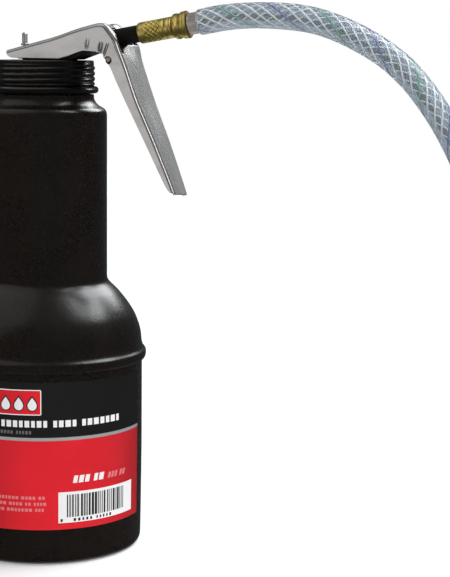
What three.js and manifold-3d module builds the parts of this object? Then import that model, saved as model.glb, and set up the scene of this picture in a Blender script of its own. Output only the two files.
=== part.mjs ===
// Pistol-type pump oiler: a drawn-steel oil can with a screwed-on lever pump and a flexible hose spout.
// Millimetres, +Z up. Origin: centre of the can's base. +X: the direction in which the spout leaves the pump.
import * as THREE from "three";
import { mergeVertices } from "three/addons/utils/BufferGeometryUtils.js";
import Module from "manifold-3d";

const wasm = await Module();
wasm.setup();

// ---------------------------------------------------------------- driving dimensions
const CAN_R = 37.35; // outer radius of the lower cup
const CAN_WALL = 0.7;
const BEAD_R = 38.95; // pressed bead that joins cup and shell
const BEAD_Z0 = 72.8;
const BEAD_Z1 = 78.8;
const UPPER_R = 23.8; // slim upper body
const SHOULDER_Z = 166.5;
const COLLAR_R = 18.85; // short plain collar below the screw cap
const COLLAR_Z = 174.2;
const NECK_R = 17.0; // neck below its thread
const NECK_CREST_R = 17.4;
const NECK_BORE_R = 16.2;
const NECK_TOP = 181.5;

const LABEL_Z0 = 13.7;
const LABEL_Z1 = 69.8;
const LABEL_A0 = -190; // degrees round the can, from the spout direction
const LABEL_A1 = 5;

const CAP_CURL_R = 20.6;
const CAP_INNER_R = 17.8;
const CAP_Z0 = 174.6;
const CAP_TOP = 187.0;
const CAP_HOLE_R = 13.5;

const ROD_X = -8.1; // axis of piston rod, barrel and dip tube
const ROD_R = 1.05;
const ROD_TOP = 197.3;
const BARREL_R = 6.0;
const BARREL_BORE_R = 5.0;
const BARREL_Z0 = 140.0;
const BARREL_Z1 = 183.6;

const PIVOT_X = 30.6; // lever pivot
const PIVOT_Z = 187.6;
const PIN_R = 1.25;

const LEVER_HALF = 9.05; // half width of the pressed channel
const LEVER_HALF_TIP = 6.3; // half width at the bottom of the trigger
const LEVER_T = 1.2; // sheet thickness
const FOLD_R = 1.8; // outside fold radius

const OUTLET_ELEVATION = 10; // degrees above horizontal
const OUTLET_Z = 190.292; // height of the outlet axis above the can's centre
const HOSE_R = 4.72;
const HOSE_BORE_R = 3.0;

// Hose centreline [x, z], y = 0: out of the fitting, over, and hanging free.
const HOSE_PATH = [
  [63.08, 201.41], [65.9, 201.92], [69.5, 202.62], [73.2, 203.18], [77.05, 203.58], [84.72, 203.96],
  [92.33, 203.8], [99.88, 203.25], [107.28, 202.02], [114.34, 199.9], [121.14, 197.1], [127.66, 193.8],
  [133.86, 189.97], [139.57, 185.5], [144.6, 180.5], [149.05, 175.07], [153.17, 169.33], [158.3, 160.9],
  [162.9, 152.1], [166.9, 142.9], [170.2, 133.4], [172.9, 123.8], [174.9, 114.0], [176.4, 104.1],
  [177.4, 94.1], [178.0, 84.1], [178.3, 74.3],
];

// Lever side view [x, z]: the fold line of the web (outside), and the loft's open edge, which is trimmed later.
const LEVER_STATIONS = [
  [[-11.4, 190.64], [-11.0, 185.4]],
  [[-4.4, 192.44], [-3.4, 185.4]],
  [[6.8, 195.3], [8.0, 185.4]],
  [[12.2, 196.95], [13.4, 185.8]],
  [[17.5, 198.7], [18.4, 187.0]],
  [[20.8, 199.6], [21.2, 187.4]],
  [[23.2, 200.2], [23.0, 187.4]],
  [[25.0, 200.6], [24.0, 187.3]],
  [[26.6, 200.8], [24.9, 187.1]],
  [[28.2, 200.65], [25.7, 186.8]],
  [[29.4, 199.85], [26.4, 186.4]],
  [[30.6, 198.5], [27.0, 185.9]],
  [[32.1, 196.7], [27.5, 185.4]],
  [[33.6, 194.6], [28.0, 184.9]],
  [[34.95, 191.3], [28.6, 184.1]],
  [[36.45, 187.7], [29.4, 182.5]],
  [[38.25, 183.1], [31.0, 179.2]],
  [[39.95, 178.4], [32.7, 175.2]],
  [[42.3, 172.1], [35.2, 169.2]],
  [[45.05, 165.7], [38.0, 162.8]],
  [[48.25, 158.4], [41.4, 155.6]],
  [[51.15, 151.3], [44.8, 148.8]],
  [[53.45, 145.6], [47.6, 143.3]],
  [[55.45, 140.4], [50.6, 138.4]],
  [[56.35, 138.0], [51.8, 136.2]],
];
// Open edge of the flanges [x, z], from the rear end to the trigger tip.
const FLANGE_EDGE = [
  [-11.4, 189.6], [-11.1, 188.9], [-10.5, 188.3], [-9.4, 187.9], [-4.0, 187.7], [9.8, 187.5], [12.0, 187.8],
  [14.2, 188.7], [19.1, 190.4], [21.1, 190.7], [25.2, 190.4], [28.1, 189.8], [28.5, 188.7], [29.2, 187.4],
  [30.6, 185.9], [31.3, 184.5], [33.2, 180.5], [37.0, 172.8], [40.8, 165.2], [44.7, 157.0], [48.5, 149.0],
  [50.8, 144.4], [52.8, 140.5], [53.4, 139.5], [54.3, 138.8], [55.6, 138.3], [56.2, 138.2],
];

// ---------------------------------------------------------------- shape helpers
function turned(profile, segments) {
  // profile [r, z], closed on itself, or from axis to axis; turned round Z with its faces out
  let area = 0;
  profile.forEach(([r, z], i) => {
    const [r2, z2] = profile[(i + 1) % profile.length];
    area += r * z2 - r2 * z;
  });
  const points = profile.map(([r, z]) => new THREE.Vector2(r, z));
  if (area < 0) points.reverse();
  if (!(points[0].x === 0 && points[points.length - 1].x === 0)) points.push(points[0].clone());
  return new THREE.LatheGeometry(points, segments).rotateX(Math.PI / 2);
}

function sleeve(rOut, rIn, z0, z1, segments) {
  return turned([[rIn, z0], [rOut, z0], [rOut, z1], [rIn, z1]], segments);
}

function plateXZ(points, y0, y1) {
  // outline in the x-z plane, from y0 to y1
  const shape = new THREE.Shape(points.map(([x, z]) => new THREE.Vector2(x, z)));
  return new THREE.ExtrudeGeometry(shape, { depth: y1 - y0, bevelEnabled: false })
    .rotateX(Math.PI / 2)
    .translate(0, y1, 0);
}

function plateXY(points, z0, z1) {
  const shape = new THREE.Shape(points.map(([x, y]) => new THREE.Vector2(x, y)));
  return new THREE.ExtrudeGeometry(shape, { depth: z1 - z0, bevelEnabled: false }).translate(0, 0, z0);
}

function plateYZ(points, x0, x1) {
  // outline in the y-z plane, from x0 to x1
  const shape = new THREE.Shape(points.map(([y, z]) => new THREE.Vector2(y, z)));
  return new THREE.ExtrudeGeometry(shape, { depth: x1 - x0, bevelEnabled: false })
    .applyMatrix4(new THREE.Matrix4().set(0, 0, 1, x0, 1, 0, 0, 0, 0, 1, 0, 0, 0, 0, 0, 1));
}

function cylinderBetween(a, b, r, segments) {
  const from = new THREE.Vector3(...a);
  const to = new THREE.Vector3(...b);
  const along = to.clone().sub(from);
  const g = new THREE.CylinderGeometry(r, r, along.length(), segments);
  g.applyQuaternion(new THREE.Quaternion().setFromUnitVectors(new THREE.Vector3(0, 1, 0), along.normalize()));
  const mid = from.add(to).multiplyScalar(0.5);
  return g.translate(mid.x, mid.y, mid.z);
}

function circle(r, sides) {
  const points = [];
  for (let i = 0; i < sides; i++) {
    const a = (2 * Math.PI * i) / sides;
    points.push(new THREE.Vector2(r * Math.cos(a), r * Math.sin(a)));
  }
  return points;
}

class Helix extends THREE.Curve {
  constructor(radius, z0, z1, turns) {
    super();
    Object.assign(this, { radius, z0, z1, turns });
  }
  getPoint(t) {
    const a = 2 * Math.PI * this.turns * t;
    // closed end turns: the wire climbs slowly at both ends
    const s = t - (0.55 / (2 * Math.PI)) * Math.sin(2 * Math.PI * t);
    return new THREE.Vector3(
      this.radius * Math.cos(a),
      this.radius * Math.sin(a),
      this.z0 + (this.z1 - this.z0) * s,
    );
  }
}

function coil(radius, wire, z0, z1, turns, perTurn, sides) {
  const path = new Helix(radius, z0 + wire, z1 - wire, turns);
  return new THREE.ExtrudeGeometry(new THREE.Shape(circle(wire, sides)), {
    steps: Math.round(turns * perTurn),
    bevelEnabled: false,
    extrudePath: path,
  });
}

function solid(geometry) {
  const g = geometry.index ? geometry.toNonIndexed() : geometry.clone();
  g.deleteAttribute("normal");
  g.deleteAttribute("uv");
  const m = mergeVertices(g, 1e-4);
  const p = m.attributes.position.array;
  const t = [];
  for (let i = 0; i < m.index.count; i += 3) {
    const [a, b, c] = [m.index.getX(i), m.index.getX(i + 1), m.index.getX(i + 2)];
    if (a !== b && b !== c && a !== c) t.push(a, b, c);
  }
  let six = 0;
  const v = (i) => [p[3 * i], p[3 * i + 1], p[3 * i + 2]];
  for (let i = 0; i < t.length; i += 3) {
    const [a, b, c] = [v(t[i]), v(t[i + 1]), v(t[i + 2])];
    six +=
      a[0] * (b[1] * c[2] - b[2] * c[1]) - a[1] * (b[0] * c[2] - b[2] * c[0]) + a[2] * (b[0] * c[1] - b[1] * c[0]);
  }
  if (six < 0) for (let i = 0; i < t.length; i += 3) [t[i + 1], t[i + 2]] = [t[i + 2], t[i + 1]];
  return new wasm.Manifold(
    new wasm.Mesh({ numProp: 3, vertProperties: new Float32Array(p), triVerts: new Uint32Array(t) }),
  );
}

function surface(manifold) {
  const m = manifold.getMesh();
  const v = new Float32Array(m.numVert * 3);
  for (let i = 0; i < m.numVert; i++) v.set(m.vertProperties.subarray(i * m.numProp, i * m.numProp + 3), i * 3);
  const g = new THREE.BufferGeometry()
    .setAttribute("position", new THREE.BufferAttribute(v, 3))
    .setIndex(new THREE.BufferAttribute(new Uint32Array(m.triVerts), 1));
  g.computeVertexNormals();
  return g;
}

// ---------------------------------------------------------------- materials
const finish = (color, roughness, metalness) => new THREE.MeshStandardMaterial({ color, roughness, metalness });
const BLACK_PAINT = finish(0x17181b, 0.42, 0.25);
const CAST_BLACK = finish(0x141416, 0.6, 0.3);
const BRIGHT_STEEL = finish(0xb9bcc0, 0.32, 0.95);
const PLAIN_STEEL = finish(0x8f9296, 0.4, 0.9);
const SPRING_STEEL = finish(0x7d8085, 0.35, 0.9);
const BRASS = finish(0x9c8431, 0.38, 0.9);
const ZINC = finish(0xa9a4a3, 0.35, 0.9);
const RUBBER = finish(0x1c1c1c, 0.85, 0.0);
const CLEAR_HOSE = finish(0x9aa6b4, 0.3, 0.0);
const LABEL_RED = finish(0xc4202c, 0.5, 0.0);
const NYLON = finish(0xd8d4c8, 0.55, 0.0);

const oiler = new THREE.Group();
function piece(name, geometry, material, parent = oiler) {
  const mesh = new THREE.Mesh(geometry, material);
  mesh.name = name;
  parent.add(mesh);
  return mesh;
}

// ---------------------------------------------------------------- oil can
piece(
  "can_lower_cup",
  turned(
    [
      [0, 0], [23.7, 0], [24.3, 1.0], [27.7, 1.0], [28.3, 0], [34.2, 0], [35.6, 0.4], [36.5, 1.4], [36.85, 3.0],
      [37.05, 14], [37.2, 27], [CAN_R, 36], [CAN_R, 78.3], [CAN_R - CAN_WALL, 78.3], [CAN_R - CAN_WALL, 36],
      [36.35, 14], [36.1, 3.2], [35.3, 1.5], [34.0, 0.9], [28.9, 0.9], [28.1, 1.9], [23.9, 1.9], [23.1, 0.9], [0, 0.9],
    ],
    32,
  ),
  BLACK_PAINT,
);

piece(
  "can_upper_shell",
  turned(
    [
      [37.65, BEAD_Z0], [38.2, BEAD_Z0], [38.75, 74.2], [BEAD_R, 75.8], [38.75, 77.4], [38.1, BEAD_Z1], [37.2, 79.5],
      [37.0, 82.0], [36.2, 85.5], [34.4, 90.2], [31.4, 94.9], [28.6, 98.4], [26.0, 100.7], [24.4, 102.6],
      [UPPER_R, 105.0], [UPPER_R, SHOULDER_Z], [23.25, 168.2], [21.9, 169.3], [20.3, 170.4], [19.3, 171.6],
      [COLLAR_R, 172.7], [COLLAR_R, COLLAR_Z], [NECK_R, COLLAR_Z], [NECK_R, 175.6], [NECK_CREST_R, 176.6],
      [NECK_R, 177.6], [NECK_CREST_R, 178.7], [NECK_R, 179.7], [NECK_R, NECK_TOP],
      [NECK_BORE_R, NECK_TOP], [NECK_BORE_R, 173.6], [18.1, 172.4], [19.4, 170.0], [22.4, 168.0],
      [23.1, 166.3], [23.1, 105.3], [25.4, 100.4], [28.1, 97.8], [33.7, 90.0], [36.3, 81.9], [36.5, 79.3], [37.65, 78.7],
    ],
    32,
  ),
  BLACK_PAINT,
);

{
  // printed wrap-round label: a thin sheet round the camera side of the cup
  const sweep = THREE.MathUtils.degToRad(LABEL_A1 - LABEL_A0);
  const inner = CAN_R + 0.2;
  const outer = CAN_R + 0.4;
  const outline = [];
  const steps = 22;
  for (let i = 0; i <= steps; i++) {
    const a = THREE.MathUtils.degToRad(LABEL_A0) + (sweep * i) / steps;
    outline.push([outer * Math.cos(a), outer * Math.sin(a)]);
  }
  for (let i = steps; i >= 0; i--) {
    const a = THREE.MathUtils.degToRad(LABEL_A0) + (sweep * i) / steps;
    outline.push([inner * Math.cos(a), inner * Math.sin(a)]);
  }
  piece("label", plateXY(outline, LABEL_Z0, LABEL_Z1), LABEL_RED);
}

// ---------------------------------------------------------------- screw cap and gasket
piece(
  "screw_cap",
  turned(
    [
      [19.2, CAP_Z0], [20.2, 174.9], [CAP_CURL_R, 175.9], [20.2, 177.0], [19.4, 177.9], [18.5, 179.0],
      [19.28, 180.0], [18.45, 181.0], [19.22, 182.0], [18.5, 183.1], [19.25, 184.2], [18.6, 185.3], [18.3, 186.3],
      [17.5, CAP_TOP], [CAP_HOLE_R, CAP_TOP], [CAP_HOLE_R, 186.35], [17.2, 186.35], [CAP_INNER_R, 185.8],
      [CAP_INNER_R, 175.3], [18.3, CAP_Z0],
    ],
    32,
  ),
  BLACK_PAINT,
);
piece("cap_gasket", sleeve(17.2, 15.4, 181.8, 183.3, 24), RUBBER);

// ---------------------------------------------------------------- outlet direction
const e = THREE.MathUtils.degToRad(OUTLET_ELEVATION);
const outletPoint = (x, up = 0) => [x - up * Math.sin(e), 0, OUTLET_Z + x * Math.tan(e) + up * Math.cos(e)];
const along = (x) => x / Math.cos(e); // distance from the can's centre line, along the outlet axis

// ---------------------------------------------------------------- pump head casting
{
  let head = solid(
    turned([[0, 183.6], [17.2, 183.6], [17.2, 185.9], [12.9, 185.9], [12.9, 187.1], [0, 187.1]], 32),
  );
  head = head.add(solid(cylinderBetween([ROD_X, 0, 177.0], [ROD_X, 0, 184.4], 6.95, 24)));
  // rib under the lever arm
  head = head.add(
    solid(
      plateXZ(
        [
          [-5.2, 186.6], [10.7, 186.6], [10.9, 187.2], [13.8, 187.3], [21.0, 189.9], [26.0, 191.2], [27.4, 192.6],
          [26.4, 196.4], [21.5, 197.4], [17.0, 196.1], [8.0, 193.5], [2.0, 191.9], [-3.9, 190.3], [-5.2, 189.3],
        ],
        -6.4,
        6.4,
      ),
    ),
  );
  // outlet boss
  head = head.add(solid(cylinderBetween(outletPoint(21.2), outletPoint(29.5), 3.85, 20)));
  // pivot lug below the outlet
  head = head.add(
    solid(
      plateXZ(
        [[25.9, 192.0], [28.55, 187.9], [32.65, 187.9], [32.2, 190.4], [30.3, 191.7], [29.2, 192.4], [26.5, 194.0]],
        -5.0,
        5.0,
      ),
    ),
  );
  head = head.add(solid(cylinderBetween([PIVOT_X, -7.3, PIVOT_Z], [PIVOT_X, 7.3, PIVOT_Z], 2.1, 16)));
  // bores: barrel socket, rod, packing, oil way, valve chamber, pin
  head = head.subtract(solid(cylinderBetween([ROD_X, 0, 175.0], [ROD_X, 0, 184.2], 6.3, 24)));
  head = head.subtract(solid(cylinderBetween([ROD_X, 0, 183.0], [ROD_X, 0, 188.0], 1.4, 12)));
  head = head.subtract(solid(cylinderBetween([ROD_X, 0, 185.1], [ROD_X, 0, 188.0], 2.6, 16)));
  head = head.subtract(solid(cylinderBetween([-4.3, 0, 183.5], [-4.3, 0, 188.5], 0.75, 8)));
  head = head.subtract(solid(cylinderBetween([-4.3, 0, 188.0], [21.5, 0, 194.1], 1.0, 8)));
  head = head.subtract(solid(cylinderBetween(outletPoint(20.5), outletPoint(30.5), 2.5, 16)));
  head = head.subtract(solid(cylinderBetween([PIVOT_X, -9, PIVOT_Z], [PIVOT_X, 9, PIVOT_Z], 1.55, 12)));
  piece("pump_head", surface(head), CAST_BLACK);
}

piece("rod_seal", sleeve(2.3, 1.3, 185.4, 186.8, 12), RUBBER).position.x = ROD_X;
piece("rod_gland", sleeve(2.6, 1.35, 187.4, 189.3, 6), PLAIN_STEEL).position.x = ROD_X;

// ---------------------------------------------------------------- pump barrel, inlet valve and dip tube
const pump = new THREE.Group();
pump.position.x = ROD_X;
oiler.add(pump);
piece("pump_barrel", sleeve(BARREL_R, BARREL_BORE_R, BARREL_Z0, BARREL_Z1, 20), PLAIN_STEEL, pump);
piece(
  "inlet_valve_body",
  turned(
    [
      [2.8, 130.0], [3.9, 130.0], [3.9, 136.5], [6.0, 136.5], [6.0, 139.7], [4.7, 139.7], [4.7, 147.5], [2.7, 147.5],
      [2.7, 139.4], [1.2, 138.4], [1.2, 134.5], [2.8, 134.5],
    ],
    16,
  ),
  BRASS,
  pump,
);
piece("inlet_retainer", sleeve(4.5, 1.1, 147.8, 148.6, 16), BRASS, pump);
piece("inlet_spring", coil(1.7, 0.3, 143.5, 147.4, 3, 9, 5), SPRING_STEEL, pump);
piece("inlet_ball", new THREE.SphereGeometry(2.1, 14, 9), BRIGHT_STEEL, pump).position.z = 141.1;
piece("dip_tube", sleeve(2.5, 1.7, 8.5, 134.2, 12), NYLON, pump);
{
  // cup strainer pushed over the foot of the dip tube, slotted crosswise
  let s = solid(turned([[1.2, 5.2], [4.6, 5.2], [4.6, 16.0], [2.8, 16.0], [2.8, 8.0], [1.2, 8.0]], 16));
  s = s.subtract(solid(new THREE.BoxGeometry(12, 1.6, 1.9).translate(0, 0, 6.1 - 0.9)));
  s = s.subtract(solid(new THREE.BoxGeometry(1.6, 12, 1.9).translate(0, 0, 6.1 - 0.9)));
  piece("strainer", surface(s), BRASS, pump);
}

// ---------------------------------------------------------------- piston
piece(
  "piston_rod",
  turned(
    [
      [0, 149.2], [0.85, 149.2], [ROD_R, 149.5], [ROD_R, 192.3], [0.75, 192.3], [0.75, 193.4], [ROD_R, 193.4],
      [ROD_R, 196.8], [0.7, ROD_TOP], [0, ROD_TOP],
    ],
    12,
  ),
  PLAIN_STEEL,
  pump,
);
piece("rod_clip", (() => {
  let c = solid(sleeve(2.5, 1.0, 192.5, 193.2, 16));
  c = c.subtract(solid(new THREE.BoxGeometry(3, 1.3, 3).translate(-2, 0, 192.8)));
  return surface(c);
})(), SPRING_STEEL, pump);
piece("piston", turned([[1.35, 153.0], [4.6, 153.0], [4.6, 155.5], [1.35, 155.5]], 16), BRASS, pump);
piece(
  "piston_seal",
  turned([[1.35, 151.4], [4.2, 151.4], [4.75, 152.0], [4.75, 152.7], [1.35, 152.7]], 16),
  RUBBER,
  pump,
);
piece("piston_nut", sleeve(2.7, 1.35, 149.6, 151.1, 6), PLAIN_STEEL, pump);
piece("return_spring", coil(3.5, 0.5, 155.9, 183.9, 8, 10, 5), SPRING_STEEL, pump);

// ---------------------------------------------------------------- outlet: valve, tube, coupling, hose tail
const outlet = new THREE.Group();
outlet.position.z = OUTLET_Z;
outlet.rotation.y = Math.PI / 2 - e;
oiler.add(outlet);
piece("outlet_seat", sleeve(2.2, 1.0, 21.2, 22.1, 14), BRASS, outlet);
piece("outlet_ball", new THREE.SphereGeometry(1.75, 12, 8), BRIGHT_STEEL, outlet).position.z = 23.8;
piece("outlet_spring", coil(1.45, 0.25, 26.7, 28.2, 1.6, 8, 5), SPRING_STEEL, outlet);
piece(
  "outlet_tube",
  turned(
    [
      [1.4, 28.5], [2.2, 28.5], [2.2, 30.3], [3.2, 30.3], [3.2, 39.75], [2.7, 39.75], [2.7, 47.0], [1.4, 47.0],
    ],
    16,
  ),
  CAST_BLACK,
  outlet,
);
piece(
  "coupling_nut",
  turned(
    [
      [3.0, 40.0], [3.5, 40.0], [3.93, 40.45], [3.93, 53.6], [3.6, 53.95], [2.2, 53.95], [2.2, 52.0], [3.0, 52.0],
    ],
    20,
  ),
  BRASS,
  outlet,
);
piece("nut_washer", sleeve(2.7, 1.5, 47.3, 48.3, 14), RUBBER, outlet);
piece(
  "hose_tail",
  turned(
    [
      [1.2, 48.6], [2.7, 48.6], [2.7, 51.7], [1.9, 51.7], [1.9, 54.25], [4.5, 54.25], [4.75, 54.6], [4.75, 55.9],
      [4.3, 56.25], [4.3, 56.6], [5.1, 57.7], [5.1, 59.4], [4.6, 59.9], [2.5, 59.9], [2.5, 65.2], [2.7, 66.2],
      [2.2, 68.3], [2.6, 68.7], [2.0, 71.7], [1.2, 71.7],
    ],
    16,
  ),
  BRASS,
  outlet,
);
piece("hose_ferrule", sleeve(4.1, 2.9, 60.15, 63.85, 16), ZINC, outlet);

// ---------------------------------------------------------------- hose and nozzle
{
  const path = new THREE.CatmullRomCurve3(HOSE_PATH.map(([x, z]) => new THREE.Vector3(x, 0, z)));
  const ring = new THREE.Shape(circle(HOSE_R, 8));
  ring.holes.push(new THREE.Path(circle(HOSE_BORE_R, 8)));
  piece(
    "flex_hose",
    new THREE.ExtrudeGeometry(ring, { steps: 30, bevelEnabled: false, extrudePath: path }),
    CLEAR_HOSE,
  );

  const [x2, z2] = HOSE_PATH[HOSE_PATH.length - 1];
  const direction = path.getTangentAt(1);
  const tip = new THREE.Group();
  tip.position.set(x2, 0, z2);
  tip.quaternion.setFromUnitVectors(new THREE.Vector3(0, 0, 1), direction);
  oiler.add(tip);
  piece("tip_ferrule", sleeve(4.1, 2.9, 0.4, 5.0, 16), ZINC, tip);
  piece(
    "nozzle_tip",
    turned(
      [
        [0.9, -7.0], [1.8, -7.0], [2.4, -4.0], [2.0, -3.6], [2.5, -1.0], [2.5, 5.3], [4.4, 5.3], [4.8, 5.8],
        [4.8, 7.2], [4.2, 7.8], [3.3, 8.2], [2.9, 12.0], [1.7, 30.0], [0.9, 30.0],
      ],
      16,
    ),
    BRASS,
    tip,
  );
}

// ---------------------------------------------------------------- lever
{
  const n = LEVER_STATIONS.length;
  const rings = [];
  for (let i = 0; i < n; i++) {
    const p = new THREE.Vector2(...LEVER_STATIONS[i][0]);
    const q = new THREE.Vector2(...LEVER_STATIONS[i][1]);
    const d = q.clone().sub(p);
    const depth = d.length();
    d.normalize();
    const before = new THREE.Vector2(...LEVER_STATIONS[Math.max(i - 1, 0)][0]);
    const after = new THREE.Vector2(...LEVER_STATIONS[Math.min(i + 1, n - 1)][0]);
    const tangent = after.sub(before).normalize();
    const inward = new THREE.Vector2(tangent.y, -tangent.x);
    const t = LEVER_T / Math.max(0.5, inward.dot(d)); // keeps the sheet's true thickness
    const fold = (FOLD_R * t) / LEVER_T;
    const narrow = THREE.MathUtils.clamp((174 - p.y) / (174 - 138), 0, 1);
    const w = LEVER_HALF + (LEVER_HALF_TIP - LEVER_HALF) * narrow;
    const section = []; // [y, distance from the fold line]
    const arc = (cy, cz, ry, rz, from, to, steps) => {
      for (let k = 0; k <= steps; k++) {
        const a = from + ((to - from) * k) / steps;
        section.push([cy + ry * Math.cos(a), cz - rz * Math.sin(a)]);
      }
    };
    const r2 = FOLD_R - LEVER_T;
    section.push([-w, depth]);
    arc(-w + FOLD_R, fold, FOLD_R, fold, Math.PI, Math.PI / 2, 3);
    arc(w - FOLD_R, fold, FOLD_R, fold, Math.PI / 2, 0, 3);
    section.push([w, depth]);
    section.push([w - LEVER_T, depth]);
    arc(w - FOLD_R, fold, r2, fold - t, 0, Math.PI / 2, 1);
    arc(-w + FOLD_R, fold, r2, fold - t, Math.PI / 2, Math.PI, 1);
    section.push([-w + LEVER_T, depth]);
    rings.push(section.map(([y, s]) => [p.x + d.x * s, y, p.y + d.y * s]));
  }
  const m = rings[0].length;
  const v = rings.flat().flat();
  const idx = [];
  for (let i = 0; i < n - 1; i++)
    for (let j = 0; j < m; j++) {
      const a = i * m + j;
      const b = i * m + ((j + 1) % m);
      idx.push(a, b, b + m, a, b + m, a + m);
    }
  const flat = rings[0].map(([, y], j) => {
    const [x0, , z0] = rings[0][j];
    return new THREE.Vector2(y, -Math.hypot(x0 + 11.4, z0 - 190.64));
  });
  THREE.ShapeUtils.triangulateShape(flat, []).forEach(([a, b, c]) => {
    idx.push(a, b, c);
    idx.push((n - 1) * m + a, (n - 1) * m + c, (n - 1) * m + b);
  });
  const loft = new THREE.BufferGeometry()
    .setAttribute("position", new THREE.Float32BufferAttribute(v, 3))
    .setIndex(idx);
  const outside = LEVER_STATIONS.map(([p]) => p);
  const trim = plateXZ(
    [
      ...FLANGE_EDGE,
      [57.0, 138.2], [60.0, 139.0], ...outside.slice(3, -1).reverse().map(([x, z]) => [x + 3, z + 3]),
      [6.0, 199.5], [-11.4, 194.5],
    ],
    -12,
    12,
  );
  let lever = solid(loft).intersect(solid(trim));
  // fork for the piston rod, open to the rear
  lever = lever.subtract(
    solid(
      plateXY(
        [[-13, -1.4], [-8.2, -1.4], [-7.2, -1.05], [-6.75, -0.5], [-6.75, 0.5], [-7.2, 1.05], [-8.2, 1.4], [-13, 1.4]],
        184,
        197,
      ),
    ),
  );
  // slot for the outlet tube, down to the round-topped trigger web
  lever = lever.subtract(
    solid(
      plateXY(
        [[27.7, -2.4], [28.3, -3.9], [29.4, -4.9], [31.5, -5.4], [31.5, 5.4], [29.4, 4.9], [28.3, 3.9], [27.7, 2.4]],
        194.5,
        204,
      ),
    ),
  );
  lever = lever.subtract(
    solid(
      plateYZ(
        [
          [-7.75, 187.2], [-7.35, 186.7], [-6.75, 186.7], [-6.35, 187.2], [-6.35, 189.2], [-5.6, 190.8], [-3.6, 192.0],
          [0, 192.4], [3.6, 192.0], [5.6, 190.8], [6.35, 189.2], [6.35, 187.2], [6.75, 186.7], [7.35, 186.7],
          [7.75, 187.2], [7.75, 195.0], [6.9, 197.0], [5.4, 198.4], [5.4, 204], [-5.4, 204], [-5.4, 198.4],
          [-6.9, 197.0], [-7.75, 195.0],
        ],
        30.9,
        44,
      ),
    ),
  );
  // pin notches
  lever = lever.subtract(solid(cylinderBetween([PIVOT_X, -12, PIVOT_Z], [PIVOT_X, 12, PIVOT_Z], 1.6, 14)));
  piece("lever", surface(lever), BRIGHT_STEEL);
}
piece(
  "pivot_pin",
  turned([[0, -9.6], [1.0, -9.6], [PIN_R, -9.3], [PIN_R, 9.3], [1.0, 9.6], [0, 9.6]], 12)
    .rotateX(Math.PI / 2)
    .translate(PIVOT_X, 0, PIVOT_Z),
  PLAIN_STEEL,
);

export default oiler;
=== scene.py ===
import bpy
import bmesh
import math
import random
from mathutils import Matrix, Vector
from mathutils.geometry import tessellate_polygon


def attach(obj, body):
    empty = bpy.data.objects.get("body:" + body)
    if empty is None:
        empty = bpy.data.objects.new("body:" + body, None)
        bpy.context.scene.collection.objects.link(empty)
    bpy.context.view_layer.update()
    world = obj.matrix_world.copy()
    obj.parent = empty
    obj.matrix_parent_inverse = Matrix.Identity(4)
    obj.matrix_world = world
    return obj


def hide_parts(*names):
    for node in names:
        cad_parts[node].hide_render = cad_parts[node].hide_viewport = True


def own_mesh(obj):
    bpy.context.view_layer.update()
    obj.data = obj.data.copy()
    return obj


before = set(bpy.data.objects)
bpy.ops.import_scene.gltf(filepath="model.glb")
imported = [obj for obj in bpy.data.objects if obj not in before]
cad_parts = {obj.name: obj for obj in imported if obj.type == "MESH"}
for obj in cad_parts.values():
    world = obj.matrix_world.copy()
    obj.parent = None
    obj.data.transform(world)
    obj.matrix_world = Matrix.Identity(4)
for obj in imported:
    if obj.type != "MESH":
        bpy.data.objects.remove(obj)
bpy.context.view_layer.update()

MM = 0.001
random.seed(7)
bpy.context.scene.view_settings.view_transform = "Standard"

# ------------------------------------------------------------------ camera
CAM_AT = Vector((0.2869, -0.5883, 0.1918))
flat = Vector((-0.3405, 0.9402, 0.0)).normalized()
TILT = math.radians(8.02)
ROLL = 0.0096
look = flat * math.cos(TILT) - Vector((0, 0, math.sin(TILT)))
right = look.cross(Vector((0, 0, 1))).normalized()
up = right.cross(look).normalized()
x_cam = right * math.cos(ROLL) + up * math.sin(ROLL)
z_cam = -look
y_cam = z_cam.cross(x_cam)
cam_data = bpy.data.cameras.new("camera")
cam_data.sensor_width = 36.0
cam_data.lens = 1700.0 / 577.0 * 36.0
cam_data.clip_start = 0.01
cam = bpy.data.objects.new("camera", cam_data)
bpy.context.scene.collection.objects.link(cam)
cam.matrix_world = Matrix(
    (
        (x_cam.x, y_cam.x, z_cam.x, CAM_AT.x),
        (x_cam.y, y_cam.y, z_cam.y, CAM_AT.y),
        (x_cam.z, y_cam.z, z_cam.z, CAM_AT.z),
        (0, 0, 0, 1),
    )
)
bpy.context.scene.camera = cam


# ------------------------------------------------------------------ small helpers
def smooth_by_angle(mesh, degrees=32.0):
    bm = bmesh.new()
    bm.from_mesh(mesh)
    limit = math.radians(degrees)
    for f in bm.faces:
        f.smooth = True
    for e in bm.edges:
        if len(e.link_faces) == 2:
            e.smooth = e.calc_face_angle(0.0) < limit
    bm.to_mesh(mesh)
    bm.free()


def add_mesh(name, verts, faces, angle=32.0, merge=0.0):
    """verts in millimetres"""
    mesh = bpy.data.meshes.new(name)
    mesh.from_pydata([(x * MM, y * MM, z * MM) for x, y, z in verts], [], faces)
    mesh.validate()
    if merge:
        bm = bmesh.new()
        bm.from_mesh(mesh)
        bmesh.ops.remove_doubles(bm, verts=bm.verts, dist=merge * MM)
        bm.to_mesh(mesh)
        bm.free()
    smooth_by_angle(mesh, angle)
    obj = bpy.data.objects.new(name, mesh)
    bpy.context.scene.collection.objects.link(obj)
    return obj


def paint(obj, material):
    obj.data.materials.clear()
    obj.data.materials.append(material)
    return obj


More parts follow.
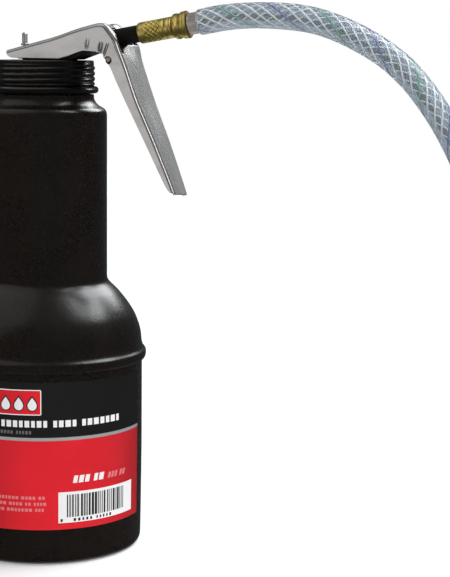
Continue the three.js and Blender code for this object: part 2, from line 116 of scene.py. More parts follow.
def rounded(points, steps=5):
    """Closed or open profile [(r, z, fillet), ...] -> [(r, z), ...] with its corners rounded. Ends are kept."""
    out = []
    n = len(points)
    closed = not (points[0][0] == 0 and points[-1][0] == 0)
    for i, (x, y, rad) in enumerate(points):
        if rad <= 0 or (not closed and i in (0, n - 1)):
            out.append((x, y))
            continue
        p = Vector((x, y))
        a = Vector(points[i - 1][:2]) - p
        b = Vector(points[(i + 1) % n][:2]) - p
        la, lb = a.length, b.length
        if la < 1e-9 or lb < 1e-9:
            out.append((x, y))
            continue
        a.normalize()
        b.normalize()
        c = max(-1.0, min(1.0, a.dot(b)))
        half = math.acos(c) / 2
        if half > math.radians(88):
            out.append((x, y))
            continue
        cut = min(rad / math.tan(half), la * 0.49, lb * 0.49)
        radius = cut * math.tan(half)
        centre = p + (a + b).normalized() * (radius / math.sin(half))
        start, end = p + a * cut, p + b * cut
        va, vb = start - centre, end - centre
        turn = math.atan2(va.x * vb.y - va.y * vb.x, va.dot(vb))
        for k in range(steps + 1):
            t = turn * k / steps
            q = centre + Vector(
                (va.x * math.cos(t) - va.y * math.sin(t), va.x * math.sin(t) + va.y * math.cos(t))
            )
            out.append((q.x, q.y))
    return out


def lathe(name, profile, segments=96, axis_at=(0, 0, 0), basis=None, angle=32.0, shape=None):
    """Turns profile [(r, z)] round Z. profile starts and ends on the axis, or closes on itself.
    basis is a 3x3 whose Z column is the turning axis. shape(r, z, a) may return another radius."""
    closed = not (profile[0][0] < 1e-9 and profile[-1][0] < 1e-9)
    area = 0.0
    for i, (r, z) in enumerate(profile):
        r2, z2 = profile[(i + 1) % len(profile)]
        area += r * z2 - r2 * z
    if area < 0:
        profile = profile[::-1]
    verts, faces, rings = [], [], []
    for r, z in profile:
        if r < 1e-9:
            rings.append([len(verts)])
            verts.append((0.0, 0.0, z))
        else:
            ring = []
            for k in range(segments):
                a = 2 * math.pi * k / segments
                rr = shape(r, z, a) if shape else r
                ring.append(len(verts))
                verts.append((rr * math.cos(a), rr * math.sin(a), z))
            rings.append(ring)
    count = len(rings)
    for i in range(count if closed else count - 1):
        lo, hi = rings[i], rings[(i + 1) % count]
        for k in range(segments):
            k2 = (k + 1) % segments
            if len(lo) == 1 and len(hi) == 1:
                continue
            if len(lo) == 1:
                faces.append((lo[0], hi[k2], hi[k]))
            elif len(hi) == 1:
                faces.append((lo[k], lo[k2], hi[0]))
            else:
                faces.append((lo[k], lo[k2], hi[k2], hi[k]))
    m = (basis or Matrix.Identity(3)).to_4x4()
    at = Vector(axis_at)
    placed = [tuple(m @ Vector(v) + at) for v in verts]
    return add_mesh(name, placed, faces, angle)


def curve_points(points, per=8):
    """Smooth curve through 2-D points (centripetal Catmull-Rom)."""
    pts = [Vector(p) for p in points]
    ext = [pts[0] * 2 - pts[1]] + pts + [pts[-1] * 2 - pts[-2]]
    out = []
    for i in range(1, len(ext) - 2):
        p0, p1, p2, p3 = ext[i - 1], ext[i], ext[i + 1], ext[i + 2]
        t0 = 0.0
        t1 = t0 + max((p1 - p0).length, 1e-9) ** 0.5
        t2 = t1 + max((p2 - p1).length, 1e-9) ** 0.5
        t3 = t2 + max((p3 - p2).length, 1e-9) ** 0.5
        for k in range(per):
            t = t1 + (t2 - t1) * k / per
            a1 = p0 * ((t1 - t) / (t1 - t0)) + p1 * ((t - t0) / (t1 - t0))
            a2 = p1 * ((t2 - t) / (t2 - t1)) + p2 * ((t - t1) / (t2 - t1))
            a3 = p2 * ((t3 - t) / (t3 - t2)) + p3 * ((t - t2) / (t3 - t2))
            b1 = a1 * ((t2 - t) / (t2 - t0)) + a2 * ((t - t0) / (t2 - t0))
            b2 = a2 * ((t3 - t) / (t3 - t1)) + a3 * ((t - t1) / (t3 - t1))
            out.append(b1 * ((t2 - t) / (t2 - t1)) + b2 * ((t - t1) / (t2 - t1)))
    out.append(pts[-1])
    return out


# ------------------------------------------------------------------ materials
class Mat:
    """A Principled material with a few chained helpers. Texture space is the object's own, in metres."""

    def __init__(self, name, base, rough, metal=0.0, **extra):
        self.m = bpy.data.materials.new(name)
        self.m.use_nodes = True
        self.t = self.m.node_tree
        self.b = self.t.nodes["Principled BSDF"]
        self.b.inputs["Base Color"].default_value = (*base, 1)
        self.b.inputs["Roughness"].default_value = rough
        self.b.inputs["Metallic"].default_value = metal
        for k, v in extra.items():
            self.b.inputs[k.replace("_", " ")].default_value = v
        self.m.diffuse_color = (*base, 1)
        self.coord = self.t.nodes.new("ShaderNodeTexCoord").outputs["Object"]
        self.normal = None

    def node(self, kind, **props):
        n = self.t.nodes.new(kind)
        for k, v in props.items():
            setattr(n, k, v)
        return n

    def link(self, a, b):
        self.t.links.new(a, b)

    def stretch(self, scale):
        n = self.node("ShaderNodeMapping")
        n.inputs["Scale"].default_value = scale
        self.link(self.coord, n.inputs["Vector"])
        return n.outputs["Vector"]

    def noise(self, scale, detail=3.0, rough=0.55, vector=None):
        n = self.node("ShaderNodeTexNoise")
        n.inputs["Scale"].default_value = scale
        n.inputs["Detail"].default_value = detail
        n.inputs["Roughness"].default_value = rough
        self.link(vector or self.coord, n.inputs["Vector"])
        return n.outputs["Fac"]

    def ramp(self, fac, stops):
        n = self.node("ShaderNodeValToRGB")
        e = n.color_ramp.elements
        while len(e) < len(stops):
            e.new(0.5)
        for k, (pos, col) in enumerate(stops):
            e[k].position = pos
            e[k].color = (*col, 1) if len(col) == 3 else col
        self.link(fac, n.inputs["Fac"])
        return n.outputs["Color"]

    def span(self, fac, lo, hi, a=0.3, b=0.7):
        n = self.node("ShaderNodeMapRange")
        n.inputs["From Min"].default_value = a
        n.inputs["From Max"].default_value = b
        n.inputs["To Min"].default_value = lo
        n.inputs["To Max"].default_value = hi
        self.link(fac, n.inputs["Value"])
        return n.outputs["Result"]

    def mix(self, fac, a, b, blend="MIX"):
        n = self.node("ShaderNodeMix", data_type="RGBA", blend_type=blend)
        for key, v in ((0, fac), (6, a), (7, b)):
            if isinstance(v, (int, float)):
                n.inputs[key].default_value = v
            elif isinstance(v, tuple):
                n.inputs[key].default_value = (*v, 1)
            else:
                self.link(v, n.inputs[key])
        return n.outputs[2]

    def math(self, op, a, b=0.0):
        n = self.node("ShaderNodeMath", operation=op)
        for k, v in ((0, a), (1, b)):
            if isinstance(v, (int, float)):
                n.inputs[k].default_value = v
            else:
                self.link(v, n.inputs[k])
        return n.outputs[0]

    def color(self, out):
        self.link(out, self.b.inputs["Base Color"])
        return self

    def roughness(self, out):
        self.link(out, self.b.inputs["Roughness"])
        return self

    def bump(self, fac, strength, depth):
        n = self.node("ShaderNodeBump")
        n.inputs["Strength"].default_value = strength
        n.inputs["Distance"].default_value = depth
        self.link(fac, n.inputs["Height"])
        if self.normal is not None:
            self.link(self.normal, n.inputs["Normal"])
        self.normal = n.outputs["Normal"]
        self.link(self.normal, self.b.inputs["Normal"])
        return self


def edge_wear(m, amount_lo=0.515, amount_hi=0.56):
    """0..1 on convex edges, from the mesh's own curvature (Pointiness)."""
    g = m.node("ShaderNodeNewGeometry")
    return m.span(g.outputs["Pointiness"], 0.0, 1.0, amount_lo, amount_hi)


def black_enamel(name, base=(0.0056, 0.0036, 0.0025), rough=(0.24, 0.33), dusty=1.0, peel=1.0):
    """Sprayed enamel: fine orange peel, faint dust and cloud, and edges rubbed a little."""
    m = Mat(name, base, rough[0], 0.0)
    m.b.inputs["Specular IOR Level"].default_value = 0.30
    big = m.noise(55, 4)
    fine = m.noise(900, 3, 0.6)
    dust = m.noise(1500, 4, 0.7)
    tone = m.mix(m.span(big, 0.0, 1.0), base, tuple(c * 1.5 + 0.0008 for c in base))
    tone = m.mix(m.span(dust, 0.0, 0.75 * dusty, 0.50, 0.74), tone, (0.023, 0.0185, 0.0150))
    wear = m.math("MULTIPLY", edge_wear(m, 0.53, 0.6), m.span(m.noise(700, 4), 0.0, 0.22, 0.45, 0.62))
    tone = m.mix(wear, tone, tuple(c * (0.4 + 0.6 * dusty) for c in (0.06, 0.058, 0.055)))
    m.color(tone)
    m.roughness(m.span(m.math("ADD", m.math("MULTIPLY", big, 0.5), m.math("MULTIPLY", fine, 0.5)), rough[0], rough[1]))
    m.bump(fine, 0.30 * peel, 0.00010)
    m.bump(m.noise(210, 2), 0.10 * peel, 0.00020)
    return m.m


def cast_black(name):
    base = (0.0042, 0.0030, 0.0025)
    m = Mat(name, base, 0.5, 0.0)
    m.b.inputs["Specular IOR Level"].default_value = 0.22
    n = m.noise(900, 5, 0.6)
    tone = m.mix(m.span(m.noise(120, 4), 0.0, 1.0), base, (0.0105, 0.0085, 0.0075))
    wear = m.math("MULTIPLY", edge_wear(m, 0.53, 0.6), 0.35)
    m.color(m.mix(wear, tone, (0.05, 0.044, 0.040)))
    m.roughness(m.span(n, 0.40, 0.62))
    m.bump(n, 0.30, 0.00012)
    return m.m


def bright_steel(name):
    base = (0.66, 0.655, 0.65)
    m = Mat(name, base, 0.26, 1.0)
    m.b.inputs["Anisotropic"].default_value = 0.25
    grain = m.noise(520, 5, 0.65, m.stretch((0.12, 1.0, 0.35)))
    cloud = m.noise(70, 5, 0.6)
    fine = m.noise(1900, 3, 0.6, m.stretch((0.06, 1.0, 0.25)))
    tone = m.mix(m.span(cloud, 0.0, 1.0), (0.60, 0.592, 0.585), (0.74, 0.735, 0.735))
    tone = m.mix(m.span(grain, 0.0, 0.35, 0.5, 0.75), tone, (0.46, 0.45, 0.44))
    m.color(tone)
    m.roughness(m.span(m.math("ADD", m.math("MULTIPLY", cloud, 0.5), m.math("MULTIPLY", grain, 0.5)), 0.20, 0.36))
    m.bump(fine, 0.07, 0.00003)
    m.bump(m.noise(150, 3), 0.08, 0.00018)
    return m.m


def turned_metal(name, base, dark, rough, ring_scale=1500.0, metal=1.0, tarnish=0.25):
    """Lathe-turned metal: fine rings along the part's length, cloudy tarnish, and brighter edges."""
    m = Mat(name, base, rough[0], metal)
    fine = m.noise(ring_scale, 2, 0.6)
    cloud = m.noise(260, 5, 0.6)
    tone = m.mix(m.span(cloud, 0.0, 1.0), base, dark)
    tone = m.mix(m.span(m.noise(1300, 4, 0.7), 0.0, tarnish, 0.55, 0.75), tone, tuple(c * 0.35 for c in dark))
    tone = m.mix(m.math("MULTIPLY", edge_wear(m, 0.52, 0.58), 0.5), tone, tuple(min(1.0, c * 1.35) for c in base))
    m.color(tone)
    m.roughness(m.span(cloud, rough[0], rough[1]))
    m.bump(fine, 0.12, 0.00004)
    return m.m


def rubber(name):
    m = Mat(name, (0.018, 0.018, 0.018), 0.75)
    n = m.noise(1400, 4, 0.6)
    m.color(m.mix(m.span(n, 0.0, 1.0), (0.014, 0.014, 0.014), (0.034, 0.033, 0.032)))
    m.roughness(m.span(n, 0.65, 0.88))
    m.bump(n, 0.25, 0.00006)
    return m.m


def nylon(name):
    m = Mat(name, (0.66, 0.62, 0.52), 0.42)
    m.b.inputs["Subsurface Weight"].default_value = 0.25
    m.b.inputs["Subsurface Scale"].default_value = 0.002
    n = m.noise(180, 4)
    m.color(m.mix(m.span(n, 0.0, 1.0), (0.62, 0.58, 0.47), (0.72, 0.69, 0.60)))
    m.roughness(m.span(m.noise(900, 3), 0.34, 0.5))
    m.bump(m.noise(1400, 2), 0.08, 0.00005)
    return m.m


def printed(name, base, rough=(0.36, 0.5), grain=0.12, shade=0.0):
    """Printed, lacquered label stock. shade: how much painted shade darkens the print toward the label's ends, away
    from the lit middle of the label.
    """
    m = Mat(name, base, rough[0], 0.0, Coat_Weight=0.04, Coat_Roughness=0.25)
    m.b.inputs["Specular IOR Level"].default_value = 0.22
    n = m.noise(1800, 3, 0.6)
    cloud = m.noise(45, 3)
    lo = tuple(c * (1 - grain) for c in base)
    hi = tuple(min(1.0, c * (1 + grain * 0.5)) for c in base)
    tone = m.mix(m.span(m.math("ADD", m.math("MULTIPLY", n, 0.35), m.math("MULTIPLY", cloud, 0.65)), 0.0, 1.0), lo, hi)
    # painted shade: darkens the print where the can's side turns away from the light
    if shade > 0:
        d = m.node("ShaderNodeVectorMath", operation="DOT_PRODUCT")
        m.link(m.coord, d.inputs[0])
        mid = math.radians(-50.0)
        d.inputs[1].default_value = (math.cos(mid) / 0.0374, math.sin(mid) / 0.0374, 0)
        tone = m.mix(m.span(d.outputs["Value"], shade, 0.0, 0.45, 0.97), tone, tuple(c * 0.34 for c in base))
    m.color(tone)
    m.roughness(m.span(cloud, rough[0], rough[1]))
    m.bump(n, 0.06, 0.00003)
    return m.m


ENAMEL = black_enamel("black_enamel")
ENAMEL_CAP = black_enamel("black_enamel_cap", (0.0022, 0.0016, 0.0013), (0.22, 0.30), dusty=0.35, peel=0.45)
CAST = cast_black("cast_black")
STEEL = bright_steel("bright_pressed_steel")
BRASS = turned_metal("olive_brass", (0.72, 0.565, 0.17), (0.46, 0.37, 0.105), (0.30, 0.44))
BRASS_KNURL = turned_metal("knurled_brass", (0.76, 0.60, 0.18), (0.50, 0.405, 0.115), (0.32, 0.46), tarnish=0.35)
ZINC = turned_metal("zinc_sleeve", (0.46, 0.405, 0.385), (0.37, 0.325, 0.31), (0.34, 0.48), metal=0.55, tarnish=0.2)
PLAIN = turned_metal("turned_steel", (0.52, 0.52, 0.53), (0.40, 0.40, 0.41), (0.22, 0.36))
SPRING = turned_metal("spring_wire", (0.40, 0.40, 0.42), (0.27, 0.27, 0.28), (0.22, 0.34))
RUBBER = rubber("nitrile_rubber")
NYLON = nylon("nylon_tube")
L_DARK = printed("label_dark", (0.0125, 0.0125, 0.0130), (0.42, 0.55))
# the red print carries painted shade toward the label's ends
L_RED = printed("label_red", (0.74, 0.0095, 0.021), shade=0.62)
L_SILVER = printed("label_silver", (0.34, 0.35, 0.355), (0.3, 0.42))
L_WHITE = printed("label_white", (0.80, 0.80, 0.80), (0.4, 0.5), 0.05)
L_GREY = printed("label_grey", (0.13, 0.13, 0.135), (0.4, 0.5))
L_INK = printed("label_ink", (0.018, 0.018, 0.019), (0.4, 0.5))
L_PALE = printed("label_pale_red", (0.68, 0.20, 0.21), (0.4, 0.5))

# ------------------------------------------------------------------ hose: route first
HOSE = [
    (63.08, 201.41), (65.9, 201.92), (69.5, 202.62), (73.2, 203.18), (77.05, 203.58), (84.72, 203.96),
    (92.33, 203.8), (99.88, 203.25), (107.28, 202.02), (114.34, 199.9), (121.14, 197.1), (127.66, 193.8),
    (133.86, 189.97), (139.57, 185.5), (144.6, 180.5), (149.05, 175.07), (153.17, 169.33), (158.3, 160.9),
    (162.9, 152.1), (166.9, 142.9), (170.2, 133.4), (172.9, 123.8), (174.9, 114.0), (176.4, 104.1),
    (177.4, 94.1), (178.0, 84.1), (178.3, 74.3),
]
HOSE_R, HOSE_BORE = 4.70, 3.0
dense = curve_points(HOSE, 10)
arc = [0.0]
for a, b in zip(dense, dense[1:]):
    arc.append(arc[-1] + (b - a).length)
HOSE_LENGTH = arc[-1]


def hose_at(s):
    """point, tangent and in-plane normal at arc length s, as 3-D vectors in millimetres"""
    s = max(0.0, min(HOSE_LENGTH, s))
    lo, hi = 0, len(arc) - 1
    while hi - lo > 1:
        mid = (lo + hi) // 2
        if arc[mid] <= s:
            lo = mid
        else:
            hi = mid
    f = (s - arc[lo]) / max(arc[hi] - arc[lo], 1e-9)
    p = dense[lo].lerp(dense[hi], f)

    def tangent(i):
        a, b = dense[max(i - 1, 0)], dense[min(i + 1, len(dense) - 1)]
        return (b - a).normalized()

    t = tangent(lo).lerp(tangent(hi), f).normalized()
    return Vector((p.x, 0, p.y)), Vector((t.x, 0, t.y)), Vector((-t.y, 0, t.x))


SIDE = Vector((0, -1, 0))


def around(s, phi, r):
    p, t, n = hose_at(s)
    return p + (n * math.cos(phi) + SIDE * math.sin(phi)) * r


def swell(s):
    """slow variation of the hose's radius, with one soft bulge in the bend"""
    return 1.0 + 0.010 * math.sin(s * 0.21 + 0.6) + 0.035 * math.exp(-(((s - 80.0) / 6.0) ** 2))


def hose_wall():
    rows, around_n = 180, 56
    verts, faces = [], []
    ss = [HOSE_LENGTH * i / rows for i in range(rows + 1)]
    ends = 4
    outer, inner = [], []

    def add_ring(s, r):
        ring = []
        for k in range(around_n):
            phi = 2 * math.pi * k / around_n
            ring.append(len(verts))
            verts.append(tuple(around(s, phi, r)))
        return ring

    # rounded cut end, outer wall, rounded cut end, bore
    rings = []
    soft = 0.25
    for k in range(ends + 1):
        q = math.pi / 2 * k / ends
        rings.append(add_ring(soft * (1 - math.cos(q)), HOSE_R - soft + soft * math.sin(q)))
    for s in ss[1:-1]:
        rings.append(add_ring(s, HOSE_R * swell(s)))
    for k in range(ends + 1):
        rings.append(
            add_ring(
                HOSE_LENGTH - soft * (1 - math.cos(math.pi / 2 * (1 - k / ends))),
                HOSE_R - soft + soft * math.sin(math.pi / 2 * (1 - k / ends)),
            )
        )
    for s in reversed(ss):
        rings.append(add_ring(s, HOSE_BORE))
    n = len(rings)
    for i in range(n):
        a, b = rings[i], rings[(i + 1) % n]
        for k in range(around_n):
            k2 = (k + 1) % around_n
            faces.append((a[k], a[k2], b[k2], b[k]))
    return verts, faces


def hose_material():
    m = Mat("clear_pvc", (0.70, 0.755, 0.83), 0.16)
    m.b.inputs["IOR"].default_value = 1.42
    m.b.inputs["Transmission Weight"].default_value = 0.80
    cloud = m.noise(170, 4, 0.6)
    tone = m.mix(m.span(cloud, 0.0, 1.0), (0.638, 0.696, 0.756), (0.718, 0.770, 0.818))
    m.color(tone)
    m.roughness(m.span(m.noise(260, 3), 0.12, 0.26))
    m.bump(m.noise(420, 3), 0.12, 0.00010)
    return m.m


def bore_material():
    """inside of the hose: matt, so that the far braid is only a haze"""
    m = Mat("clear_pvc_bore", (0.60, 0.67, 0.75), 0.6)
    m.b.inputs["IOR"].default_value = 1.3
    m.b.inputs["Transmission Weight"].default_value = 0.55
    cloud = m.noise(120, 4, 0.6)
    m.color(m.mix(m.span(cloud, 0.0, 1.0), (0.46, 0.525, 0.59), (0.60, 0.65, 0.71)))
    m.roughness(m.span(m.noise(300, 3), 0.5, 0.7))
    m.bump(m.noise(380, 3), 0.2, 0.00010)
    return m.m


def painted_bore_shade_material():
    # painted shade: near-black green for the strip that stands for the bore's shadow
    m = Mat("painted_bore_shade", (0.045, 0.055, 0.045), 0.4)
    n = m.noise(420, 4, 0.6)
    m.color(m.mix(m.span(n, 0.0, 1.0), (0.022, 0.030, 0.026), (0.075, 0.090, 0.085)))
    m.roughness(m.span(n, 0.3, 0.5))
    m.bump(n, 0.15, 0.00005)
    return m.m


HOSE_MAT = hose_material()
BORE_MAT = bore_material()
PAINTED_BORE_SHADE_MAT = painted_bore_shade_material()
LEAD = 38.2
S_GREEN, S_BLUE = 15.1, 34.2
THREAD_R = 0.27
THREAD_AT = 4.05


def yarn_material(name, base):
    m = Mat(name, base, 0.55)
    m.b.inputs["Sheen Weight"].default_value = 0.2
    n = m.noise(2600, 3, 0.6)
    m.color(m.mix(m.span(n, 0.0, 1.0), tuple(c * 0.82 for c in base), tuple(min(1, c * 1.08) for c in base)))
    m.bump(n, 0.4, 0.00005)
    return m.m


YARN_WHITE = yarn_material("yarn_white", (0.68, 0.715, 0.725))
YARN_INNER = yarn_material("yarn_inner", (0.52, 0.565, 0.595))
YARN_GREEN = yarn_material("yarn_green", (0.02, 0.27, 0.13))
YARN_BLUE = yarn_material("yarn_blue", (0.03, 0.05, 0.30))


def thread(verts, faces, phase, hand, radius_at, wire):
    """one braid thread: a flattened tube on a helix in the hose's wall"""
    per, sides = 1.1, 6
    count = int(HOSE_LENGTH / per)
    rings = []
    for i in range(count + 1):
        s = 0.4 + (HOSE_LENGTH - 0.8) * i / count
        phi = phase + hand * 2 * math.pi * s / LEAD
        weave = 0.10 * math.sin(8 * 2 * math.pi * s / LEAD + (0 if hand > 0 else math.pi))
        r = radius_at * swell(s) + weave
        c = around(s, phi, r)
        _, t, n = hose_at(s)
        radial = (n * math.cos(phi) + SIDE * math.sin(phi)).normalized()
        across = (n * -math.sin(phi) + SIDE * math.cos(phi)).normalized()
        along = (t * (LEAD / (2 * math.pi)) + across * (hand * r)).normalized()
        flat_dir = radial.cross(along).normalized()
        ring = []
        for k in range(sides):
            a = 2 * math.pi * k / sides
            v = c + flat_dir * (wire * 1.15 * math.cos(a)) + radial * (wire * 0.62 * math.sin(a))
            ring.append(len(verts))
            verts.append(tuple(v))
        rings.append(ring)
    for a, b in zip(rings, rings[1:]):
        for k in range(sides):
            k2 = (k + 1) % sides
            faces.append((a[k], b[k], b[k2], a[k2]) if True else None)
    faces.append(tuple(rings[0]))
    faces.append(tuple(reversed(rings[-1])))


def braid():
    made = {"white": ([], []), "green": ([], []), "blue": ([], []), "inner": ([], [])}
    green_phase = math.pi / 2 - 2 * math.pi * S_GREEN / LEAD
    for k in range(8):
        key = "green" if k == 0 else "blue" if k == 4 else "white"
        v, f = made[key]
        thread(v, f, green_phase - k * math.pi / 4, 1, THREAD_AT, THREAD_R * (1.1 if key != "white" else 1.0))
    v, f = made["inner"]
    for k in range(8):
        thread(v, f, math.pi / 2 + k * math.pi / 4 + 0.25, -1, THREAD_AT - 0.34, THREAD_R * 0.85)
    return made


wall_v, wall_f = hose_wall()
hose = paint(add_mesh("flex_hose_tube", wall_v, wall_f, 60), HOSE_MAT)
hose.data.materials.append(BORE_MAT)
hose.visible_shadow = False
for p in hose.data.polygons:
    at = p.center / MM
    near = min(dense, key=lambda q: (q.x - at.x) ** 2 + (q.y - at.z) ** 2)
    if math.hypot(math.hypot(near.x - at.x, near.y - at.z), at.y) < 3.4:
        p.material_index = 1


def painted_bore_shade():
    """dark strip inside the bore, along its near side: painted shade that stands for the bore's shadow seen through the
    clear wall
    """
    v, f = [], []
    n, m = 170, 7
    for i in range(n + 1):
        s = 0.6 + (150.0 - 0.6) * i / n
        half = 0.30 + 0.05 * math.sin(s * 0.55) + 0.04 * math.sin(s * 1.7 + 1.0)
        half *= min(1.0, 0.35 + s / 4.0, 0.05 + (150.0 - s) / 12.0)
        mid = math.pi / 2 + 0.16 + 0.05 * math.sin(s * 0.31)
        for r in (3.16, 3.06):
            for k in range(m):
                phi = mid + half * (2 * k / (m - 1) - 1)
                v.append(tuple(around(s, phi, r)))
    row = 2 * m
    for i in range(n):
        a, b = i * row, (i + 1) * row
        for k in range(m - 1):
            f.append((a + k, a + k + 1, b + k + 1, b + k))
            f.append((a + m + k, b + m + k, b + m + k + 1, a + m + k + 1))
        f.append((a, b, b + m, a + m))
        f.append((a + m - 1, a + 2 * m - 1, b + 2 * m - 1, b + m - 1))
    f.append(tuple(range(m)) + tuple(range(2 * m - 1, m - 1, -1)))
    e = n * row
    f.append((tuple(e + k for k in range(m)) + tuple(e + k for k in range(2 * m - 1, m - 1, -1)))[::-1])
    return v, f


hose_parts = []
# a dark strip in the bore as painted shade, for the bore's shadow
bore_shade_v, bore_shade_f = painted_bore_shade()
bore_shade_strip = paint(add_mesh("hose_painted_bore_shade", bore_shade_v, bore_shade_f, 60), PAINTED_BORE_SHADE_MAT)
bm = bmesh.new()
bm.from_mesh(bore_shade_strip.data)
bmesh.ops.recalc_face_normals(bm, faces=bm.faces)
bm.to_mesh(bore_shade_strip.data)
bm.free()
hose_parts.append(bore_shade_strip)
for key, (v, f) in braid().items():
    mat = {"white": YARN_WHITE, "green": YARN_GREEN, "blue": YARN_BLUE, "inner": YARN_INNER}[key]
    o = paint(add_mesh("hose_braid_" + key, v, f, 60), mat)
    hose_parts.append(o)

# end of the hose: ferrule and nozzle
_, end_t, _ = hose_at(HOSE_LENGTH)
end_at = Vector((HOSE[-1][0], 0, HOSE[-1][1]))
end_z = end_t.normalized()
end_y = Vector((0, 1, 0))
end_x = end_y.cross(end_z).normalized()
END_BASIS = Matrix((end_x, end_y, end_z)).transposed()


def crimped(depth, z0, z1, count=8):
    """radius change of a crimped sleeve: flats pressed in between z0 and z1"""

    def shape(r, z, a):
        if r < 3.6 or z <= z0 or z >= z1:
            return r
        edge = min(1.0, (z - z0) / 0.5, (z1 - z) / 0.5)
        edge = edge * edge * (3 - 2 * edge)
        flatness = 0.5 + 0.5 * math.cos(count * a)
        return r - depth * edge * flatness ** 3

    return shape


tip_ferrule = lathe(
    "tip_ferrule_sleeve",
    rounded([(4.1, 0.4, 0.25), (4.1, 5.0, 0.25), (2.9, 5.0, 0.15), (2.9, 0.4, 0.15)], 4),
    64, end_at, END_BASIS, shape=crimped(0.28, 0.9, 4.4),
)
paint(tip_ferrule, ZINC)
nozzle = lathe(
    "nozzle",
    rounded(
        [
            (0.9, -7.0, 0), (1.8, -7.0, 0.15), (2.4, -4.0, 0.1), (2.0, -3.6, 0.1), (2.5, -1.0, 0.2), (2.5, 5.3, 0.1),
            (4.4, 5.3, 0.2), (4.78, 5.8, 0.2), (4.78, 7.2, 0.25), (4.2, 7.8, 0.3), (3.3, 8.2, 0.5), (2.9, 12.0, 1.0),
            (1.7, 30.0, 0.3), (0.9, 30.0, 0.2),
        ],
        4,
    ),
    64, end_at, END_BASIS,
)
paint(nozzle, BRASS)

for o in [hose] + hose_parts + [tip_ferrule, nozzle]:
    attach(o, "head")
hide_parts("flex_hose")
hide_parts("tip_ferrule")
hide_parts("nozzle_tip")
path_m = [tuple(hose_at(HOSE_LENGTH * i / 120)[0] * MM) for i in range(121)]

# ------------------------------------------------------------------ oil can
CUP_OUT = [
    (36.85, 3.0), (37.0, 11.0), (37.12, 19.0), (37.2, 27.0), (37.35, 36.0),
]


def lower_cup():
    prof = [
        (0, 0, 0), (23.7, 0, 0.35), (24.3, 1.0, 0.35), (27.7, 1.0, 0.35), (28.3, 0, 0.4), (36.75, 0, 2.9),
        (36.9, 6.0, 0), (37.03, 14, 0), (37.2, 27, 0), (37.33, 38, 0), (37.35, 78.3, 0.2), (36.65, 78.3, 0.2),
        (36.63, 36, 0), (36.35, 14, 0), (36.15, 0.9, 2.2), (28.9, 0.9, 0.3), (28.1, 1.9, 0.3), (23.9, 1.9, 0.3),
        (23.1, 0.9, 0.3), (0, 0.9, 0),
    ]
    return lathe("lower_cup", rounded(prof, 8), 144, angle=28)


def upper_shell():
    # outer line: bead, dome, slim cylinder, shoulder, collar
    # a rolled joint: tight below, crest low, and a flare that runs up into the dome
    bead = [(37.62, 72.75)] + [
        (v.x, v.y)
        for v in curve_points(
            [
                (37.92, 72.72), (38.28, 72.9), (38.6, 73.3), (38.82, 73.85), (38.92, 74.5), (38.93, 75.1), (38.88, 75.7),
                (38.68, 76.25), (38.35, 76.7), (38.0, 77.15), (37.72, 77.65), (37.52, 78.2), (37.36, 78.8), (37.26, 79.25),
            ],
            3,
        )
    ]
    dome = [
        (v.x, v.y)
        for v in curve_points(
            [
                (37.2, 79.5), (37.1, 80.8), (37.0, 82.0), (36.65, 84.0), (36.1, 85.9), (35.35, 88.0), (34.35, 90.3),
                (33.0, 92.6), (31.4, 94.9), (29.7, 97.1), (28.1, 99.0), (26.5, 100.6), (25.15, 101.9), (24.25, 103.1),
                (23.88, 104.2), (23.8, 105.4),
            ],
            4,
        )
    ]
    shoulder = [
        (v.x, v.y)
        for v in curve_points(
            [
                (23.8, 165.9), (23.72, 166.9), (23.4, 168.0), (22.7, 168.85), (21.9, 169.35), (20.9, 169.95),
                (20.1, 170.6), (19.35, 171.6), (18.95, 172.5), (18.85, 173.2),
            ],
            4,
        )
    ]
    neck = [(18.85, 174.0), (18.65, 174.2), (17.15, 174.2), (17.0, 174.35)]
    zs = [174.35 + (181.0 - 174.35) * k / 44 for k in range(1, 45)]
    thread = [(17.0, z) for z in zs]
    top = [(17.0, 181.25), (16.8, 181.48), (16.5, 181.5), (16.2, 181.3)]
    inside = [
        (16.2, 173.6), (16.7, 172.9), (18.1, 172.1), (19.4, 169.9), (22.3, 168.0), (23.05, 166.8), (23.1, 165.8),
        (23.1, 105.3), (23.4, 103.6), (25.2, 100.9), (28.1, 97.8), (31.0, 94.2), (33.7, 90.0), (35.5, 86.0),
        (36.3, 81.9), (36.5, 79.3), (36.95, 78.75), (37.38, 78.35),
    ]
    profile = bead + dome + shoulder + neck + thread + top + inside

    def shape(r, z, a):
        if r == 17.0 and 174.6 < z < 181.0:
            pitch = 2.1
            fade = min(1.0, (z - 174.6) / 1.2, (181.0 - z) / 1.0)
            u = ((z - pitch * a / (2 * math.pi)) / pitch) % 1.0
            return 17.0 + 0.38 * fade * (0.5 - 0.5 * math.cos(2 * math.pi * u)) ** 1.4
        return r

    return lathe("upper_shell", profile, 144, angle=28, shape=shape)


cup = paint(lower_cup(), ENAMEL)
shell = paint(upper_shell(), ENAMEL)
for o, n in ((cup, "can_lower_cup"), (shell, "can_upper_shell")):
    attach(o, "can")
    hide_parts(n)

# ------------------------------------------------------------------ label
LABEL_A0, LABEL_A1 = -190.0, 4.8  # degrees from the spout direction
LABEL_Z0, LABEL_Z1 = 13.8, 69.7
FRONT = -64.0  # the direction that faces the user
SKIN = 37.42


def can_r(z):
    pts = [(3.0, 36.85), (11.0, 37.0), (19.0, 37.12), (27.0, 37.2), (36.0, 37.33), (80.0, 37.35)]
    for (z0, r0), (z1, r1) in zip(pts, pts[1:]):
        if z <= z1:
            return r0 + (r1 - r0) * max(0.0, z - z0) / (z1 - z0)
    return 37.35


def on_can(deg, z, lift):
    a = math.radians(deg)
    r = can_r(z) + lift
    return (r * math.cos(a), r * math.sin(a), z)


